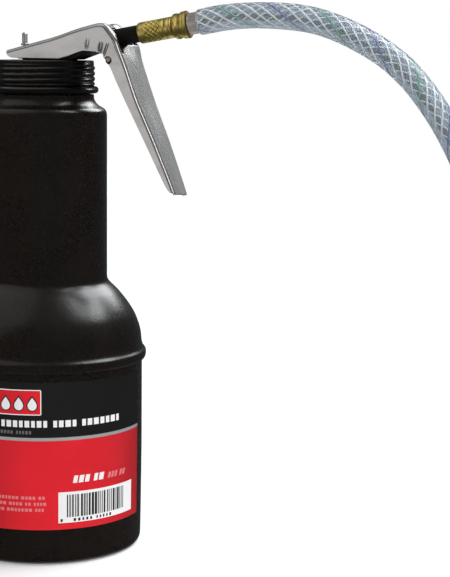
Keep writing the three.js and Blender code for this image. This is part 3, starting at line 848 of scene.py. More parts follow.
def label_sheet():
    """Thin closed sheet; its printed bands are faces of their own material."""
    step = 1.5
    n = int(round((LABEL_A1 - LABEL_A0) / step))
    angles = [LABEL_A0 + (LABEL_A1 - LABEL_A0) * i / n for i in range(n + 1)]
    zs = [LABEL_Z0, LABEL_Z0 + 0.15] + [13.95 + (47.75 - 13.95) * k / 12 for k in range(1, 13)] + [48.95]
    zs += [48.95 + (LABEL_Z1 - 48.95) * k / 8 for k in range(1, 8)] + [LABEL_Z1 - 0.15, LABEL_Z1]
    zs = sorted(set(round(z, 4) for z in zs))
    lo, hi = 0.035, 0.11
    verts, faces, bands = [], [], []

    def grid(lift):
        base = len(verts)
        for i, a in enumerate(angles):
            for j, z in enumerate(zs):
                tuck = 0.04 if (i in (0, n) or j in (0, len(zs) - 1)) and lift == hi else 0.0
                verts.append(on_can(a, z, lift - tuck))
        return base

    top = grid(hi)
    bottom = grid(lo)
    m = len(zs)
    for i in range(n):
        for j in range(m - 1):
            a, b, c, d = (top + i * m + j, top + (i + 1) * m + j, top + (i + 1) * m + j + 1, top + i * m + j + 1)
            faces.append((a, b, c, d))
            mid = (zs[j] + zs[j + 1]) / 2
            bands.append(0 if mid < 47.75 else 1 if mid < 48.95 else 2)
            a, b, c, d = (bottom + i * m + j, bottom + (i + 1) * m + j, bottom + (i + 1) * m + j + 1, bottom + i * m + j + 1)
            faces.append((d, c, b, a))
            bands.append(bands[-1])
    for i in range(n):
        for j, flip in ((0, False), (m - 1, True)):
            q = (top + i * m + j, bottom + i * m + j, bottom + (i + 1) * m + j, top + (i + 1) * m + j)
            faces.append(q[::-1] if flip else q)
            bands.append(0 if j == 0 else 2)
    for j in range(m - 1):
        for i, flip in ((0, True), (n, False)):
            q = (top + i * m + j, bottom + i * m + j, bottom + i * m + j + 1, top + i * m + j + 1)
            faces.append(q[::-1] if flip else q)
            mid = (zs[j] + zs[j + 1]) / 2
            bands.append(0 if mid < 47.75 else 1 if mid < 48.95 else 2)
    mesh = bpy.data.meshes.new("wrap_label")
    mesh.from_pydata([(x * MM, y * MM, z * MM) for x, y, z in verts], [], faces)
    for mat in (L_RED, L_SILVER, L_DARK):
        mesh.materials.append(mat)
    for p, b in zip(mesh.polygons, bands):
        p.material_index = b
    bm = bmesh.new()
    bm.from_mesh(mesh)
    bmesh.ops.recalc_face_normals(bm, faces=bm.faces)
    bm.to_mesh(mesh)
    bm.free()
    smooth_by_angle(mesh, 30)
    o = bpy.data.objects.new("wrap_label", mesh)
    bpy.context.scene.collection.objects.link(o)
    return o


PER_DEG = math.radians(1) * SKIN  # millimetres of arc per degree


class Decal:
    """Closed thin plates of one ink, laid on the label. Coordinates: arc length in mm from the front line, to the right, and z."""

    def __init__(self, name, material, lift, thick=0.02):
        self.name, self.material, self.lift, self.thick = name, material, lift, thick
        self.v, self.f = [], []

    def columns(self, cols):
        """cols: [(x, z_low, z_high)] from left to right"""
        base = len(self.v)
        for x, z0, z1 in cols:
            a = FRONT + x / PER_DEG
            for z in (z0, z1):
                self.v.append(on_can(a, z, self.lift + self.thick))
                self.v.append(on_can(a, z, self.lift))
        n = len(cols)
        for i in range(n - 1):
            p = base + 4 * i
            q = p + 4
            self.f.append((p, q, q + 2, p + 2))
            self.f.append((p + 1, p + 3, q + 3, q + 1))
            self.f.append((p, p + 1, q + 1, q))
            self.f.append((p + 2, q + 2, q + 3, p + 3))
        self.f.append((base, base + 2, base + 3, base + 1))
        e = base + 4 * (n - 1)
        self.f.append((e, e + 1, e + 3, e + 2))

    def rect(self, x0, z0, x1, z1, slant=0.0, radius=0.0):
        n = max(2, int(math.ceil((x1 - x0) / 0.7)))
        cols = []
        for i in range(n + 1):
            x = x0 + (x1 - x0) * i / n
            cols.append((x, z0, z1))
        if radius > 0:
            cols = []
            xs = [x0 + radius * (1 - math.cos(math.pi / 2 * k / 6)) for k in range(6)]
            xs += [x0 + radius + (x1 - x0 - 2 * radius) * k / n for k in range(n + 1)]
            xs += [x1 - radius * (1 - math.sin(math.pi / 2 * k / 6)) for k in range(1, 7)]
            for x in xs:
                d = max(0.0, x0 + radius - x, x - x1 + radius)
                inset = radius - math.sqrt(max(0.0, radius * radius - d * d))
                cols.append((x, z0 + inset, z1 - inset - 0.0))
            cols[0] = (cols[0][0], z0 + radius - 0.01, z1 - radius + 0.01)
            cols[-1] = (cols[-1][0], z0 + radius - 0.01, z1 - radius + 0.01)
        if slant:
            self.slanted(x0, z0, x1, z1, slant)
        else:
            self.columns(cols)

    def slanted(self, x0, z0, x1, z1, slant):
        base = len(self.v)
        for x, z in ((x0, z0), (x1, z0), (x1 + slant, z1), (x0 + slant, z1)):
            a = FRONT + x / PER_DEG
            self.v.append(on_can(a, z, self.lift + self.thick))
            self.v.append(on_can(a, z, self.lift))
        b = base
        self.f.append((b, b + 2, b + 4, b + 6))
        self.f.append((b + 1, b + 7, b + 5, b + 3))
        for i in range(4):
            p, q = b + 2 * i, b + 2 * ((i + 1) % 4)
            self.f.append((p, p + 1, q + 1, q))

    def drop(self, cx, cz, size):
        """oil drop: round below, pointed above"""
        r = size * 0.34
        cols = []
        n = 22
        for i in range(n + 1):
            x = -r + 2 * r * i / n
            low = -math.sqrt(max(0.0, r * r - x * x))
            u = abs(x) / r
            high = (size * 0.62) * (1 - u) ** 1.35 + math.sqrt(max(0.0, r * r - x * x)) * u
            cols.append((cx + x, cz + low - 0.01, cz + max(high, low + 0.02)))
        self.columns(cols)

    def done(self):
        o = add_mesh(self.name, self.v, self.f, 30)
        bm = bmesh.new()
        bm.from_mesh(o.data)
        bmesh.ops.recalc_face_normals(bm, faces=bm.faces)
        bm.to_mesh(o.data)
        bm.free()
        paint(o, self.material)
        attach(o, "can")
        return o


label = label_sheet()
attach(label, "can")
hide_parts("label")

# badge: plain red plate with a pale rim and a row of oil drops
T0 = 0.115
rim = Decal("badge_rim", L_WHITE, T0)
rim.rect(-28.6, 57.45, -1.75, 67.0, radius=0.5)
rim.done()
field = Decal("badge_field", L_RED, T0 + 0.025)
field.rect(-28.25, 57.8, -2.1, 66.65, radius=0.3)
field.done()
ink = Decal("badge_drop_shadows", L_INK, T0 + 0.05)
pale = Decal("badge_drops", L_WHITE, T0 + 0.075)
for k in range(5):
    x = -5.1 - 5.05 * k
    ink.drop(x, 61.0, 6.3)
    pale.drop(x, 61.0, 5.0)
ink.done()
pale.done()

# greeked lines: plain blocks in the rhythm of words, no lettering
def blocks(decal, x0, z0, height, groups, wide, gap, space, slant=0.0):
    x = x0
    for count in groups:
        for k in range(count):
            w = wide * (0.75 + 0.5 * random.random())
            decal.rect(x, z0, x + w, z0 + height, slant=slant)
            x += w + gap
        x += space
    return x


title = Decal("title_blocks", L_WHITE, T0)
end_x = blocks(title, -27.2, 52.9, 2.5, (2, 1, 8, 4, 7), 1.75, 0.72, 1.55)
title.done()
sub = Decal("subtitle_blocks", L_GREY, T0)
blocks(sub, -27.0, 50.3, 1.25, (7, 4, 5), 0.85, 0.45, 0.9)
sub.done()
cap_line = Decal("measure_blocks", L_WHITE, T0)
x_next = blocks(cap_line, 9.9, 31.4, 2.75, (3, 2), 1.75, 0.65, 1.3, slant=0.55)
cap_line.done()
unit = Decal("unit_blocks", L_PALE, T0)
blocks(unit, x_next + 0.2, 31.5, 2.2, (3, 2), 1.1, 0.6, 1.0, slant=0.6)
unit.done()
address = Decal("small_print_blocks", L_PALE, T0)
for z, groups in ((25.5, (3, 9, 4, 2)), (23.2, (6, 2, 4, 2, 4)), (20.9, (5, 3, 7, 3))):
    total = sum(groups)
    blocks(address, -27.4, z, 1.15, groups, 0.95, 0.42, 0.75)
address.done()
panel = Decal("code_panel", L_WHITE, T0)
panel.rect(4.4, 16.3, 39.1, 28.1)
panel.done()
bars = Decal("code_bars", L_INK, T0 + 0.025)
greys = Decal("code_bars_grey", L_GREY, T0 + 0.025)
x = 7.6
while x < 33.2:
    w = random.choice((0.34, 0.5, 0.5, 0.8, 1.0))
    (bars if random.random() < 0.45 else greys).rect(x, 18.4, min(x + w, 33.4), 27.0)
    x += w + random.choice((0.32, 0.45, 0.45, 0.7))
bars.done()
greys.done()
digits = Decal("code_digits", L_INK, T0 + 0.025)
blocks(digits, 5.2, 16.75, 1.1, (1,), 0.7, 0.5, 1.0)
blocks(digits, 10.2, 16.75, 1.1, (5, 5), 0.8, 0.85, 1.1)
digits.done()

# ------------------------------------------------------------------ screw cap
def screw_cap():
    pitch = 2.05
    thread = [(18.45, 177.85 + (185.7 - 177.85) * k / 76) for k in range(77)]
    curl = []
    for k in range(13):
        a = math.radians(-128 + 244 * k / 12)
        curl.append((19.28 + 1.3 * math.cos(a), 175.95 + 1.33 * math.sin(a)))
    profile = curl + thread
    profile += rounded([(18.85, 185.85, 0), (18.75, 187.0, 1.05), (13.5, 187.0, 0.25), (13.5, 186.35, 0.2), (17.8, 186.35, 0.5)], 6)[1:]
    profile += [(17.8, 185.0), (17.8, 176.0), (17.95, 175.2), (18.2, 174.95)]

    def shape(r, z, a):
        if abs(r - 18.45) < 1e-6:
            deg = math.degrees(a)
            rise = pitch * (((deg - 26.0 + 180.0) % 360.0) - 180.0) / 360.0
            u = ((z - 177.98 - rise) / pitch) % 1.0
            bump = (0.5 + 0.5 * math.cos(2 * math.pi * u)) ** 0.55
            fade = min(1.0, max(0.0, (185.75 - z) / 0.9), max(0.0, (z - 177.55) / 0.5))
            low = 18.72
            return low + 0.54 * bump * fade + 0.14 * max(0.0, (z - 185.0))
        return r

    return lathe("cap", profile, 160, angle=40, shape=shape)


cap = paint(screw_cap(), ENAMEL_CAP)
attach(cap, "cap")
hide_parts("screw_cap")

# ------------------------------------------------------------------ outlet pieces
ELEV = math.radians(10)
OUT_AT = Vector((0, 0, 190.292))
oz = Vector((math.cos(ELEV), 0, math.sin(ELEV)))
oy = Vector((0, 1, 0))
ox = oy.cross(oz).normalized()
OUT_BASIS = Matrix((ox, oy, oz)).transposed()

tube = lathe(
    "spout_tube",
    rounded(
        [
            (1.4, 28.5, 0.1), (2.2, 28.5, 0.15), (2.2, 30.3, 0.05), (3.2, 30.3, 0.25), (3.2, 39.75, 0.2),
            (2.7, 39.75, 0.05), (2.7, 47.0, 0.3), (1.4, 47.0, 0.1),
        ],
        4,
    ),
    64, OUT_AT, OUT_BASIS,
)
paint(tube, CAST)
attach(tube, "head")
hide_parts("outlet_tube")


def knurled_nut():
    z0, z1 = 40.0, 53.95
    k0, k1 = 42.6, 49.6
    R = 3.93
    rows = [(3.0, z0), (3.3, z0), (3.55, z0 + 0.06), (3.74, z0 + 0.2), (3.86, z0 + 0.42), (R, z0 + 0.8)]
    rows += [(R, z0 + 1.4), (R, k0 - 0.2)]
    n = 90
    rows += [(R, k0 + (k1 - k0) * i / n) for i in range(n + 1)]
    rows += [
        (R, 50.1), (R, 50.55), (3.85, 50.68), (3.85, 50.95), (R, 51.08), (R, 52.6), (3.86, 52.75), (3.86, 52.95),
        (R, 53.1), (R, 53.45), (3.86, 53.68), (3.7, 53.85), (3.45, z1), (2.2, z1), (2.2, 52.0), (3.0, 52.0),
    ]
    count = 12

    def shape(r, z, a):
        if abs(r - R) < 1e-6 and k0 <= z <= k1:
            # the knurl wears out unevenly at both ends, as pressed knurling does
            ragged = 0.35 * math.sin(3 * a + 0.4) + 0.25 * math.sin(7 * a)
            fade = max(0.0, min(1.0, (z - k0 - 0.3 - ragged * 0.5) / 0.5, (k1 - 0.3 - z + ragged * 0.5) / 0.5))
            t = (z - k0) / 1.95
            u = (count * a / (2 * math.pi) + t) % 1.0
            v = (count * a / (2 * math.pi) - t) % 1.0
            groove = max(abs(u - 0.5) * 2, abs(v - 0.5) * 2)  # 1 in a groove
            g = max(0.0, (groove - 0.62) / 0.38)
            return R - 0.26 * fade * g
        return r

    return lathe("knurled_nut", rows, 240, OUT_AT, OUT_BASIS, angle=50, shape=shape)


nut = paint(knurled_nut(), BRASS_KNURL)
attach(nut, "coupling")
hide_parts("coupling_nut")

tail = lathe(
    "stepped_hose_tail",
    rounded(
        [
            (1.2, 48.6, 0.1), (2.7, 48.6, 0.2), (2.7, 51.7, 0.2), (1.9, 51.7, 0.05), (1.9, 54.25, 0.05),
            (4.35, 54.25, 0.3), (4.72, 54.7, 0.3), (4.75, 55.75, 0.25), (4.32, 56.15, 0.12), (4.3, 56.55, 0.12),
            (4.62, 56.95, 0.15), (4.66, 57.25, 0.1), (4.95, 57.6, 0.15), (4.98, 58.35, 0.1), (4.9, 58.45, 0.06),
            (4.9, 58.6, 0.06), (5.08, 58.75, 0.12), (5.08, 59.45, 0.2), (4.6, 59.9, 0.25), (2.5, 59.9, 0.05),
            (2.5, 65.2, 0.1), (2.7, 66.2, 0.1), (2.2, 68.3, 0.05), (2.6, 68.7, 0.05), (2.0, 71.7, 0.1), (1.2, 71.7, 0.1),
        ],
        4,
    ),
    96, OUT_AT, OUT_BASIS,
)
paint(tail, BRASS)
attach(tail, "head")
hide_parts("hose_tail")

ferrule = lathe(
    "crimped_hose_ferrule",
    rounded(
        [(2.9, 60.15, 0.1), (4.1, 60.15, 0.25)] + [(4.1, 60.6 + 0.26 * k, 0) for k in range(12)]
        + [(4.1, 63.85, 0.3), (2.9, 63.85, 0.1)],
        5,
    ),
    96, OUT_AT, OUT_BASIS, shape=crimped(0.34, 60.4, 63.8, 6),
)
paint(ferrule, ZINC)
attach(ferrule, "head")
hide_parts("hose_ferrule")

# ------------------------------------------------------------------ lever
FOLD_LINE = [
    (-11.4, 190.64), (-10.6, 190.85), (-9.4, 191.15), (-7.0, 191.78), (-4.4, 192.44), (1.5, 193.95), (6.8, 195.3),
    (9.2, 196.0), (11.2, 196.62), (15.0, 197.9), (18.6, 199.02), (20.8, 199.6), (23.2, 200.2), (25.0, 200.6),
    (26.6, 200.8), (28.2, 200.65), (29.4, 199.85), (30.6, 198.5), (32.1, 196.7), (33.6, 194.6), (34.95, 191.3), (36.45, 187.7), (38.25, 183.1),
    (39.95, 178.4), (42.3, 172.1), (45.05, 165.7), (48.25, 158.4), (51.15, 151.3), (53.45, 145.6), (55.35, 140.7),
    (56.2, 138.45),
]
# the flange's open edge that belongs to each point of the fold line, in the same order
EDGE_LINE = [
    (-11.4, 189.55), (-10.9, 188.6), (-9.6, 187.95), (-6.8, 187.75), (-3.9, 187.7), (2.3, 187.6), (8.0, 187.5),
    (10.2, 187.5), (12.0, 188.0), (15.6, 189.3), (18.6, 190.35), (20.4, 190.72), (22.6, 190.62), (24.0, 190.5), (25.2, 190.4), (26.6, 190.05),
    (27.5, 189.95), (28.15, 189.75), (28.5, 188.75), (29.05, 187.65), (30.2, 186.35), (31.4, 184.4), (33.2, 180.5),
    (35.1, 176.7), (38.05, 170.75), (41.3, 164.1), (44.75, 157.0), (48.1, 150.0), (50.6, 144.75), (52.9, 140.35),
    (54.2, 138.8),
]
PIVOT = (30.6, 187.6)
W0, W1, T_SHEET, R_FOLD = 9.05, 6.3, 1.2, 1.35


def lever_sheet():
    per = 10
    top = curve_points(FOLD_LINE, per)
    low = curve_points(EDGE_LINE, per)
    last = len(top) - 1

    def at(t):
        """t in 0..30 along the fold line"""
        x = max(0.0, min(last * 1.0, t * per))
        i = min(int(x), last - 1)
        f = x - i
        return top[i].lerp(top[i + 1], f), low[i].lerp(low[i + 1], f), (top[min(i + 1, last)] - top[max(i, 0)])

    def t_of_x(x):
        lo_t, hi_t = 0.0, 30.0
        for _ in range(40):
            mid = (lo_t + hi_t) / 2
            if at(mid)[0].x < x:
                lo_t = mid
            else:
                hi_t = mid
        return lo_t

    def section(t):
        p, q, _ = at(t)
        a, b = at(t - 0.12)[0], at(t + 0.12)[0]
        tan = (b - a).normalized()
        inward = Vector((tan.y, -tan.x))
        d = q - p
        depth = d.length
        d.normalize()
        slope = max(0.5, inward.dot(d))
        narrow = max(0.0, min(1.0, (174 - p.y) / 36.0))
        w = W0 + (W1 - W0) * narrow
        r = min(R_FOLD, depth * 0.8)
        return p, d, depth, slope, w, r, inward

    U_ARC = math.pi / 2 * R_FOLD

    def skew(t, y, side):
        """the sheet's lower end is cut a little slanting: longer on the far side"""
        k = max(0.0, (t - 28.0) / 2.0)
        return Vector((0.36, -0.93)) * (0.5 - 0.62 * side * y / 6.3) * k * k

    def web_point(t, u, side):
        """u: distance from the middle of the web, over the fold, measured on the outside"""
        p, d, depth, slope, w, r, inward = section(t)
        flat_half = w - r
        full = (W0 - R_FOLD)
        if u <= full:
            y = flat_half * u / full
            s = 0.0
        else:
            a = min(1.0, (u - full) / U_ARC) * math.pi / 2
            y = flat_half + r * math.sin(a)
            s = (r / slope) * (1 - math.cos(a))
        z3 = p + d * s + skew(t, y, side)
        v = Vector((z3.x, -side * y, z3.y))
        # the trigger's web is slightly domed across, and leans in at its round top
        if t > 18.3:
            grow = min(1.0, (t - 18.3) / 3.0)
            dome = 0.55 * grow * max(0.0, 1 - (u / 6.6) ** 2)
            lean = 0.75 * max(0.0, 1 - (t - 18.3) / 1.6) ** 2 * max(0.0, 1 - (u / 7.0) ** 4)
            shift = dome - lean
            v -= Vector((inward.x, 0, inward.y)) * shift
        # the crown of the bend is drawn in between the folds, most on the far side
        y_ = v.y
        across = min(1.0, max(0.0, (y_ + 6.8) / 6.3)) if y_ < 1.5 else min(1.0, max(0.0, (6.3 - y_) / 2.6))
        across = across * across * (3 - 2 * across)
        v.z -= 1.55 * across * math.exp(-(((p.x - 29.0) / 2.7) ** 2))
        if y_ > 4.5 and 26.0 < p.x < 34.0:
            f = min(1.0, (p.x - 26.0) / 3.2, (34.0 - p.x) / 2.0)
            v.z -= 1.1 * min(1.0, (y_ - 4.5) / 2.0) * f * f * (3 - 2 * f)
        # the far fold swells a little beside the top of the trigger's web
        if side < 0:
            v.x += 1.15 * min(1.0, max(0.0, (u - 3.0) / 5.0)) * math.exp(-(((t - 19.7) / 1.2) ** 2))
        return v

    def flange_point(t, v, side):
        p, d, depth, slope, w, r, _ = section(t)
        s0 = r / slope
        s = s0 + (depth - s0) * v
        y = w
        z3 = p + d * s + skew(t, y, side)
        # stamping creases beside the crook
        for cx, cz, ang, length, wide, deep in (
            (22.0, 193.4, 82, 2.6, 0.36, 0.42), (27.3, 192.1, 80, 2.3, 0.62, 0.45), (29.5, 191.3, 70, 2.9, 0.38, 0.33),
        ):
            c, s_ = math.cos(math.radians(ang)), math.sin(math.radians(ang))
            dx, dz = z3.x - cx, z3.y - cz
            l_, k_ = dx * c + dz * s_, -dx * s_ + dz * c
            y -= deep * math.exp(-((k_ / wide) ** 2)) * max(0.0, 1 - (l_ / length) ** 2)
        # soft swelling where the sheet was drawn round the bend
        y += 0.25 * math.exp(-(((z3.x - 30.5) / 3.2) ** 2) - (((z3.y - 190.0) / 3.2) ** 2))
        return Vector((z3.x, -side * y, z3.y))

    T_FORK0, T_FORK1, T_FORK2 = t_of_x(-8.3), t_of_x(-6.75), t_of_x(-5.0)
    T_SLOT0, T_SLOT1, T_SLOT2 = t_of_x(28.0), t_of_x(29.5), t_of_x(31.7)
    T_OPEN = 19.0  # slot has its full width here
    T_TOP = 19.55  # crown of the trigger web
    T_SLIT = 20.45
    U_MAX = (W0 - R_FOLD) + U_ARC
    FORK_U, SLOT_U, SLIT_IN, SLIT_OUT = 1.4, 5.4, 6.35, 7.71

    def ts(a, b, step):
        n = max(1, int(round((b - a) / step)))
        return [a + (b - a) * k / n for k in range(n + 1)]

    verts, faces = [], []

    def patch(rows, cols, point, side, flip=False):
        base = len(verts)
        for r_ in rows:
            for c_ in cols(r_) if callable(cols) else cols:
                verts.append(point(r_, c_, side))
        n = len(cols(rows[0]) if callable(cols) else cols)
        for i in range(len(rows) - 1):
            for j in range(n - 1):
                q = (base + i * n + j, base + i * n + j + 1, base + (i + 1) * n + j + 1, base + (i + 1) * n + j)
                faces.append(q if side > 0 else q[::-1])

    def grid(points, side):
        """points: rows of positions"""
        base = len(verts)
        n = len(points[0])
        for row in points:
            verts.extend(row)
        for i in range(len(points) - 1):
            for j in range(n - 1):
                q = (base + i * n + j, base + i * n + j + 1, base + (i + 1) * n + j + 1, base + (i + 1) * n + j)
                faces.append(q if side > 0 else q[::-1])

    row_a = ts(0.0, T_FORK0, 0.14)
    row_b = ts(T_FORK0, T_FORK2, 0.09)
    row_c = ts(T_FORK2, T_SLOT0, 0.22)
    row_d = ts(T_SLOT0, T_SLOT2, 0.14)
    row_e = ts(T_SLOT2, T_OPEN, 0.12)
    row_t = ts(T_TOP, T_SLIT, 0.12)
    row_f = ts(T_OPEN, T_TOP, 0.12) + row_t[1:]
    row_g = ts(T_SLIT, 30.0, 0.16)
    all_rows = row_a + row_b[1:] + row_c[1:] + row_d[1:] + row_e[1:] + row_f[1:] + row_g[1:]
    tongue_cols = [SLIT_IN * k / 8 for k in range(9)]
    slit_cols = [SLIT_IN + (SLIT_OUT - SLIT_IN) * k / 2 for k in range(3)]
    outer_n = 9

    def strip(u_in):
        return [u_in + (U_MAX - u_in) * k / outer_n for k in range(outer_n + 1)]

    def u_in(t):
        if t <= T_SLOT2:
            return SLOT_U
        if t >= T_TOP:
            return SLIT_OUT
        f = ((t - T_SLOT2) / (T_TOP - T_SLOT2)) ** 2
        return SLOT_U + (SLIT_OUT - SLOT_U) * f

    arm_cols = [FORK_U + (SLOT_U - FORK_U) * k / 5 for k in range(6)]
    fork_cols = [FORK_U * k / 5 for k in range(6)]

    for side in (1, -1):
        # side 1 is the user's side of the lever (negative y)
        # folds: from the slot's side to the end of the bend, all along
        grid([[web_point(t, u, side) for u in strip(u_in(t))] for t in all_rows], side)
        # arm web outside the fork
        rows = row_a + row_b[1:] + row_c[1:]
        grid([[web_point(t, u, side) for u in arm_cols] for t in rows], side)

        # arm web in front of the fork, with the fork's round end
        def fork_end(u):
            k = 1 - math.sqrt(max(0.0, 1 - (u / FORK_U) ** 2))
            return T_FORK1 + (T_FORK0 - T_FORK1) * k

        n = len(row_b) - 1
        grid(
            [[web_point(fork_end(u) + (T_FORK2 - fork_end(u)) * i / n, u, side) for u in fork_cols] for i in range(n + 1)],
            side,
        )
        grid([[web_point(t, u, side) for u in fork_cols] for t in row_c], side)

        # arm web up to the slot's round end
        def slot_end(u):
            k = 1 - math.sqrt(max(0.0, 1 - (u / SLOT_U) ** 2))
            return T_SLOT1 + (T_SLOT2 - T_SLOT1) * k

        n = len(row_d) - 1
        for cols in (fork_cols, arm_cols):
            grid(
                [[web_point(T_SLOT0 + (slot_end(u) - T_SLOT0) * i / n, u, side) for u in cols] for i in range(n + 1)],
                side,
            )

        # trigger web: round-topped tongue, then full width
        def crown(u):
            k = 1 - math.sqrt(max(0.0, 1 - (u / (SLIT_IN + 0.35)) ** 2))
            return T_TOP + 1.05 * k

        if side > 0:
            n = len(row_t) - 1
            grid(
                [
                    [web_point(crown(u) + (T_SLIT - crown(u)) * i / n, u, side) for u in tongue_cols]
                    for i in range(n + 1)
                ],
                side,
            )
        else:
            # the far side of the web runs on into its fold
            grid([[web_point(t, u, side) for u in tongue_cols] for t in row_t], side)
            grid([[web_point(t, u, side) for u in slit_cols] for t in row_t], side)
        grid([[web_point(t, u, side) for u in tongue_cols] for t in row_g], side)
        grid([[web_point(t, u, side) for u in slit_cols] for t in row_g], side)
        # flange
        vs = [k / 14 for k in range(15)]
        grid([[flange_point(t, v, side) for v in vs] for t in all_rows], side)
    return [tuple(v) for v in verts], faces


lever_v, lever_f = lever_sheet()
lever = add_mesh("lever_channel", lever_v, lever_f, 60, merge=0.02)
paint(lever, STEEL)
bm = bmesh.new()
bm.from_mesh(lever.data)
bmesh.ops.remove_doubles(bm, verts=bm.verts, dist=0.00003)
bmesh.ops.dissolve_degenerate(bm, dist=0.00001, edges=bm.edges)
bmesh.ops.recalc_face_normals(bm, faces=bm.faces)
# normals point out of the channel
mid = Vector((0.010, 0, 0.185))
score = sum(f.normal.dot(f.calc_center_median() - mid) * f.calc_area() for f in bm.faces)
if score < 0:
    bmesh.ops.reverse_faces(bm, faces=bm.faces)
bm.to_mesh(lever.data)
bm.free()
mod = lever.modifiers.new("sheet", "SOLIDIFY")
mod.thickness = T_SHEET * MM
mod.offset = -1.0
mod.use_even_offset = False
mod.use_quality_normals = True
notch = lathe(
    "notch_tool", [(0, -12), (1.5, -12), (1.5, 12), (0, 12)], 40, Vector((PIVOT[0] - 0.20, 0, PIVOT[1] - 0.32)),
    Matrix(((1, 0, 0), (0, 0, 1), (0, -1, 0))),
)
mod = lever.modifiers.new("notch", "BOOLEAN")
mod.operation = "DIFFERENCE"
mod.solver = "EXACT"
mod.object = notch
mod = lever.modifiers.new("edges", "BEVEL")
mod.width = 0.16 * MM
mod.segments = 2
mod.limit_method = "ANGLE"
mod.angle_limit = math.radians(50)
bpy.context.view_layer.update()
made = bpy.data.meshes.new_from_object(lever.evaluated_get(bpy.context.evaluated_depsgraph_get()))
lever.modifiers.clear()
lever.data = made
bpy.data.objects.remove(notch)
smooth_by_angle(lever.data, 38)
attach(lever, "lever")
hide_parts("lever")

# ------------------------------------------------------------------ rod, clip, pin
rod = lathe(
    "plunger_rod",
    rounded(
        [
            (0, 149.2, 0), (0.85, 149.2, 0.1), (1.05, 149.5, 0.1), (1.05, 192.3, 0.05), (0.75, 192.3, 0.05),
            (0.75, 193.4, 0.05), (1.05, 193.4, 0.05), (1.05, 196.8, 0.1), (0.7, 197.3, 0.15), (0, 197.3, 0),
        ],
        3,
    ),
    48, Vector((-8.1, 0, 0)),
)
ROD_MAT = turned_metal("rod_steel", (0.74, 0.72, 0.70), (0.62, 0.60, 0.58), (0.42, 0.55), tarnish=0.15)
paint(rod, ROD_MAT)
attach(rod, "piston")
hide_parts("piston_rod")


def e_clip():
    """open retaining ring with three inner lugs"""
    verts, faces = [], []
    n = 72
    ring = []
    for k in range(n + 1):
        a = math.radians(-180 + 24 + (360 - 48) * k / n)
        deg = math.degrees(a)
        lug = max(math.exp(-(((deg - c) / 16.0) ** 2)) for c in (-95.0, 0.0, 95.0))
        inner = 1.30 - 0.32 * lug
        outer = 1.52 - 0.03 * lug
        ring.append((a, inner, outer))
    z0, z1, e = 192.5, 193.2, 0.1
    for a, i, o in ring:
        for r, z in ((i, z0 + e), (i + e, z0), (o - e, z0), (o, z0 + e), (o, z1 - e), (o - e, z1), (i + e, z1), (i, z1 - e)):
            verts.append((-8.1 + r * math.cos(a), r * math.sin(a), z))
    for k in range(n):
        for j in range(8):
            a, b = k * 8 + j, k * 8 + (j + 1) % 8
            faces.append((a, a + 8, b + 8, b))
    faces.append(tuple(range(8)))
    faces.append(tuple(reversed(range(n * 8, n * 8 + 8))))
    return add_mesh("e_clip", verts, faces, 35)


clip = e_clip()
bm = bmesh.new()
bm.from_mesh(clip.data)
bmesh.ops.recalc_face_normals(bm, faces=bm.faces)
bm.to_mesh(clip.data)
bm.free()
paint(clip, SPRING)
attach(clip, "piston")
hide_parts("rod_clip")

pin = lathe(
    "lever_pin",
    rounded([(0, -9.5, 0), (1.05, -9.5, 0.22), (1.05, 9.5, 0.22), (0, 9.5, 0)], 5),
    48, Vector((PIVOT[0], 0, PIVOT[1])), Matrix(((1, 0, 0), (0, 0, 1), (0, -1, 0))),
)
PIN_MAT = turned_metal("pin_steel", (0.46, 0.36, 0.325), (0.33, 0.255, 0.23), (0.34, 0.5))
paint(pin, PIN_MAT)
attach(pin, "head")
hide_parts("pivot_pin")


# ------------------------------------------------------------------ springs
def spring(name, at_x, radius, wire, z0, z1, turns, axis=None):
    verts, faces = [], []
    per, sides = 36, 10
    n = int(turns * per)
    rings = []
    for i in range(n + 1):
        t = i / n
        a = 2 * math.pi * turns * t
        s = t - (0.55 / (2 * math.pi)) * math.sin(2 * math.pi * t)
        z = z0 + wire + (z1 - z0 - 2 * wire) * s
        c = Vector((radius * math.cos(a), radius * math.sin(a), z))
        radial = Vector((math.cos(a), math.sin(a), 0))
        ring = []
        for k in range(sides):
            b = 2 * math.pi * k / sides
            p = c + radial * (wire * math.cos(b)) + Vector((0, 0, wire * math.sin(b)))
            ring.append(len(verts))
            verts.append(tuple(p + Vector((at_x, 0, 0))))
        rings.append(ring)
    for a_, b_ in zip(rings, rings[1:]):
        for k in range(sides):
            k2 = (k + 1) % sides
            faces.append((a_[k], a_[k2], b_[k2], b_[k]))
    faces.append(tuple(reversed(rings[0])))
    faces.append(tuple(rings[-1]))
    o = add_mesh(name, verts, faces, 50)
    bm = bmesh.new()
    bm.from_mesh(o.data)
    bmesh.ops.recalc_face_normals(bm, faces=bm.faces)
    bm.to_mesh(o.data)
    bm.free()
    return paint(o, SPRING)


ret = spring("return_coil", -8.1, 3.5, 0.5, 155.9, 183.9, 8)
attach(ret, "head")
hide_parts("return_spring")
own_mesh(ret)
ins = spring("inlet_coil", -8.1, 1.7, 0.3, 143.5, 147.4, 3)
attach(ins, "head")
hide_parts("inlet_spring")
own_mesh(ins)

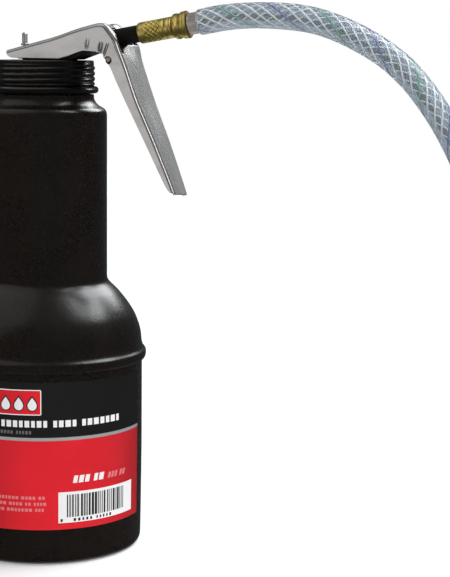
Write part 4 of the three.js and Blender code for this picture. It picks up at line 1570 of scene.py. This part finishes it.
# ------------------------------------------------------------------ CAD pieces that keep their shape
KEEP = {
    "pump_head": (CAST, 30), "cap_gasket": (RUBBER, 30), "rod_seal": (RUBBER, 30), "rod_gland": (PLAIN, 20),
    "pump_barrel": (PLAIN, 30), "inlet_valve_body": (BRASS, 30), "inlet_retainer": (BRASS, 30), "dip_tube": (NYLON, 40),
    "strainer": (BRASS, 30), "piston": (BRASS, 30), "piston_seal": (RUBBER, 30), "piston_nut": (PLAIN, 20),
    "outlet_seat": (BRASS, 30), "outlet_spring": (SPRING, 60), "nut_washer": (RUBBER, 30),
    "inlet_ball": (PLAIN, 60), "outlet_ball": (PLAIN, 60),
}
for name, (mat, angle) in KEEP.items():
    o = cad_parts[name]
    o.data.materials.clear()
    o.data.materials.append(mat)
    for p in o.data.polygons:
        p.material_index = 0
    smooth_by_angle(o.data, angle)

# ------------------------------------------------------------------ floor, backdrop and light
floor_mat = bpy.data.materials.new("studio_floor")
floor_mat.use_nodes = True
fb = floor_mat.node_tree.nodes["Principled BSDF"]
fb.inputs["Base Color"].default_value = (0.93, 0.93, 0.93, 1)
fb.inputs["Roughness"].default_value = 0.7
fb.inputs["Emission Color"].default_value = (1, 1, 1, 1)
fb.inputs["Emission Strength"].default_value = 0.22
floor_v = [(2.2 * math.cos(2 * math.pi * k / 96), 2.2 * math.sin(2 * math.pi * k / 96), 0) for k in range(96)]
fm = bpy.data.meshes.new("studio_floor")
fm.from_pydata(floor_v, [], [tuple(range(96))])
fm.materials.append(floor_mat)
floor = bpy.data.objects.new("studio_floor", fm)
bpy.context.scene.collection.objects.link(floor)

floor.visible_glossy = False

# Studio: a plain white surround for the picture; what the object mirrors is a soft, partly dark room.
world = bpy.data.worlds.new("studio")
bpy.context.scene.world = world
world.use_nodes = True
wt = world.node_tree
for n in list(wt.nodes):
    wt.nodes.remove(n)


def wnode(kind, **props):
    n = wt.nodes.new(kind)
    for k, v in props.items():
        setattr(n, k, v)
    return n


def wlink(a, b):
    wt.links.new(a, b)


w_out = wnode("ShaderNodeOutputWorld")
w_dir = wnode("ShaderNodeTexCoord").outputs["Generated"]


def lobe(direction, inner, outer, value):
    """soft round glow of the room in one direction; inner and outer are angles in degrees"""
    d = Vector(direction).normalized()
    dot = wnode("ShaderNodeVectorMath", operation="DOT_PRODUCT")
    norm = wnode("ShaderNodeVectorMath", operation="NORMALIZE")
    wlink(w_dir, norm.inputs[0])
    wlink(norm.outputs[0], dot.inputs[0])
    dot.inputs[1].default_value = d
    r = wnode("ShaderNodeMapRange", interpolation_type="SMOOTHSTEP")
    r.inputs["From Min"].default_value = math.cos(math.radians(outer))
    r.inputs["From Max"].default_value = math.cos(math.radians(inner))
    r.inputs["To Min"].default_value = 0.0
    r.inputs["To Max"].default_value = value
    wlink(dot.outputs["Value"], r.inputs["Value"])
    return r.outputs["Result"]


def total(values, base):
    out = None
    for v in values:
        a = wnode("ShaderNodeMath", operation="ADD")
        if out is None:
            a.inputs[0].default_value = base
        else:
            wlink(out, a.inputs[0])
        wlink(v, a.inputs[1])
        out = a.outputs[0]
    return out


VR = Vector((0.9402, 0.3405, 0))
VF = Vector((-0.3405, 0.9402, 0))
VU = Vector((0, 0, 1))


def view_dir(right_, away, up_):
    """direction given to the right of, away from, and above the main camera's line"""
    return VR * right_ + VF * away + VU * up_


room = total(
    [
        lobe(view_dir(0, 0, 1), 10, 70, 0.16),
        lobe(view_dir(0.0, 0.44, -0.90), 12, 40, 0.7),
    ],
    0.085,
)
bg_room = wnode("ShaderNodeBackground")
bg_room.inputs["Color"].default_value = (0.93, 0.965, 1.0, 1)
wlink(room, bg_room.inputs["Strength"])
bg_white = wnode("ShaderNodeBackground")
bg_white.inputs["Color"].default_value = (1.0, 1.0, 1.0, 1)
bg_white.inputs["Strength"].default_value = 1.0
path = wnode("ShaderNodeLightPath")
bg_clear = wnode("ShaderNodeBackground")
bg_clear.inputs["Color"].default_value = (0.95, 0.98, 1.0, 1)
bg_clear.inputs["Strength"].default_value = 0.66
mix_clear = wnode("ShaderNodeMixShader")
wlink(path.outputs["Is Transmission Ray"], mix_clear.inputs[0])
wlink(bg_room.outputs[0], mix_clear.inputs[1])
wlink(bg_clear.outputs[0], mix_clear.inputs[2])
mix = wnode("ShaderNodeMixShader")
wlink(path.outputs["Is Camera Ray"], mix.inputs[0])
wlink(mix_clear.outputs[0], mix.inputs[1])
wlink(bg_white.outputs[0], mix.inputs[2])
wlink(mix.outputs[0], w_out.inputs["Surface"])


def sun(name, toward, strength, angle, color=(1, 1, 1)):
    data = bpy.data.lights.new(name, "SUN")
    data.energy = strength
    data.angle = math.radians(angle)
    data.color = color
    o = bpy.data.objects.new(name, data)
    o.rotation_euler = (-toward).to_track_quat("-Z", "Y").to_euler()
    bpy.context.scene.collection.objects.link(o)
    return o


def area(name, at, aim, size, power, color=(1, 1, 1), diffuse=True):
    data = bpy.data.lights.new(name, "AREA")
    data.shape = "RECTANGLE"
    data.size, data.size_y = size
    data.energy = power
    data.color = color
    o = bpy.data.objects.new(name, data)
    o.location = at
    d = Vector(aim) - Vector(at)
    o.rotation_euler = d.to_track_quat("-Z", "Y").to_euler()
    o.visible_camera = False
    o.visible_diffuse = diffuse
    bpy.context.scene.collection.objects.link(o)
    return o


def only(lamp, pieces, without=()):
    """the lamp lights these pieces only (or everything but the ones in without)"""
    group = bpy.data.collections.new(lamp.name + "_lights")
    for o in pieces or without:
        group.objects.link(o)
    if without:
        for entry in group.collection_objects:
            entry.light_linking.link_state = "EXCLUDE"
    lamp.light_linking.receiver_collection = group


def through_floor(lamp):
    """the floor does not block this lamp"""
    group = bpy.data.collections.new(lamp.name + "_shadows")
    group.objects.link(floor)
    for entry in group.collection_objects:
        entry.light_linking.link_state = "EXCLUDE"
    lamp.light_linking.blocker_collection = group


def gloss_lamp(name, toward, radiance, angle, color, pieces):
    """a soft round light that only shows as a reflection on some of the pieces"""
    solid = 2 * math.pi * (1 - math.cos(math.radians(angle / 2)))
    o = sun(name, toward, radiance * solid, angle, color)
    o.visible_diffuse = False
    only(o, pieces)
    through_floor(o)
    return o


METAL = [lever, rod, clip, pin, nut, tail, ferrule, tip_ferrule, nozzle]
key = sun("key_sun", view_dir(0.50, 0.10, 0.86), 2.6, 45, (0.97, 0.985, 1.0))
only(key, None, without=[lever, cap, nut, tail, label, shell])
front = sun("front_sun", view_dir(0.27, -0.9, 0.3), 1.5, 50, (1.0, 0.985, 0.97))
front.visible_glossy = False
gloss_lamp("dome_light", view_dir(0.56, 0.12, 0.81), 12.5, 36, (0.96, 0.985, 1.0), [shell])
gloss_lamp("shoulder_light", view_dir(0.41, 0.66, 0.62), 10.0, 34, (0.96, 0.985, 1.0), [shell])
gloss_lamp("left_light", view_dir(-0.62, -0.1, 0.78), 0.6, 66, (1.0, 0.97, 0.94), [cup, shell])
gloss_lamp("ridge_light", view_dir(-0.38, -0.08, 0.92), 1.0, 84, (1.0, 0.96, 0.92), [cap])
gloss_lamp("arm_light", view_dir(-0.35, -0.25, 0.90), 0.46, 60, (1.0, 0.985, 0.97), [lever])
gloss_lamp("crook_light", view_dir(0.42, 0.66, 0.62), 1.8, 40, (0.98, 0.99, 1.0), [lever])
gloss_lamp("brass_light", view_dir(-0.05, -0.48, 0.87), 0.88, 80, (1.0, 0.985, 0.95), [nut, tail, nozzle])
gloss_lamp("edge_light", view_dir(0.83, 0.44, 0.34), 14.0, 24, (0.95, 0.98, 1.0), [cap])
gloss_lamp("flange_light", view_dir(-0.718, -0.696, -0.14), 0.62, 42, (1.0, 0.972, 0.95), METAL)
gloss_lamp("web_light", view_dir(0.68, 0.70, 0.218), 0.29, 54, (0.965, 0.985, 1.0), METAL)
gloss_lamp("hose_light", view_dir(0.15, -0.15, 0.97), 14.0, 8, (1.0, 1.0, 1.0), [hose])
gloss_lamp("line_light", view_dir(0.52, -0.77, 0.37), 2.6, 24, (1.0, 0.965, 0.94), METAL)
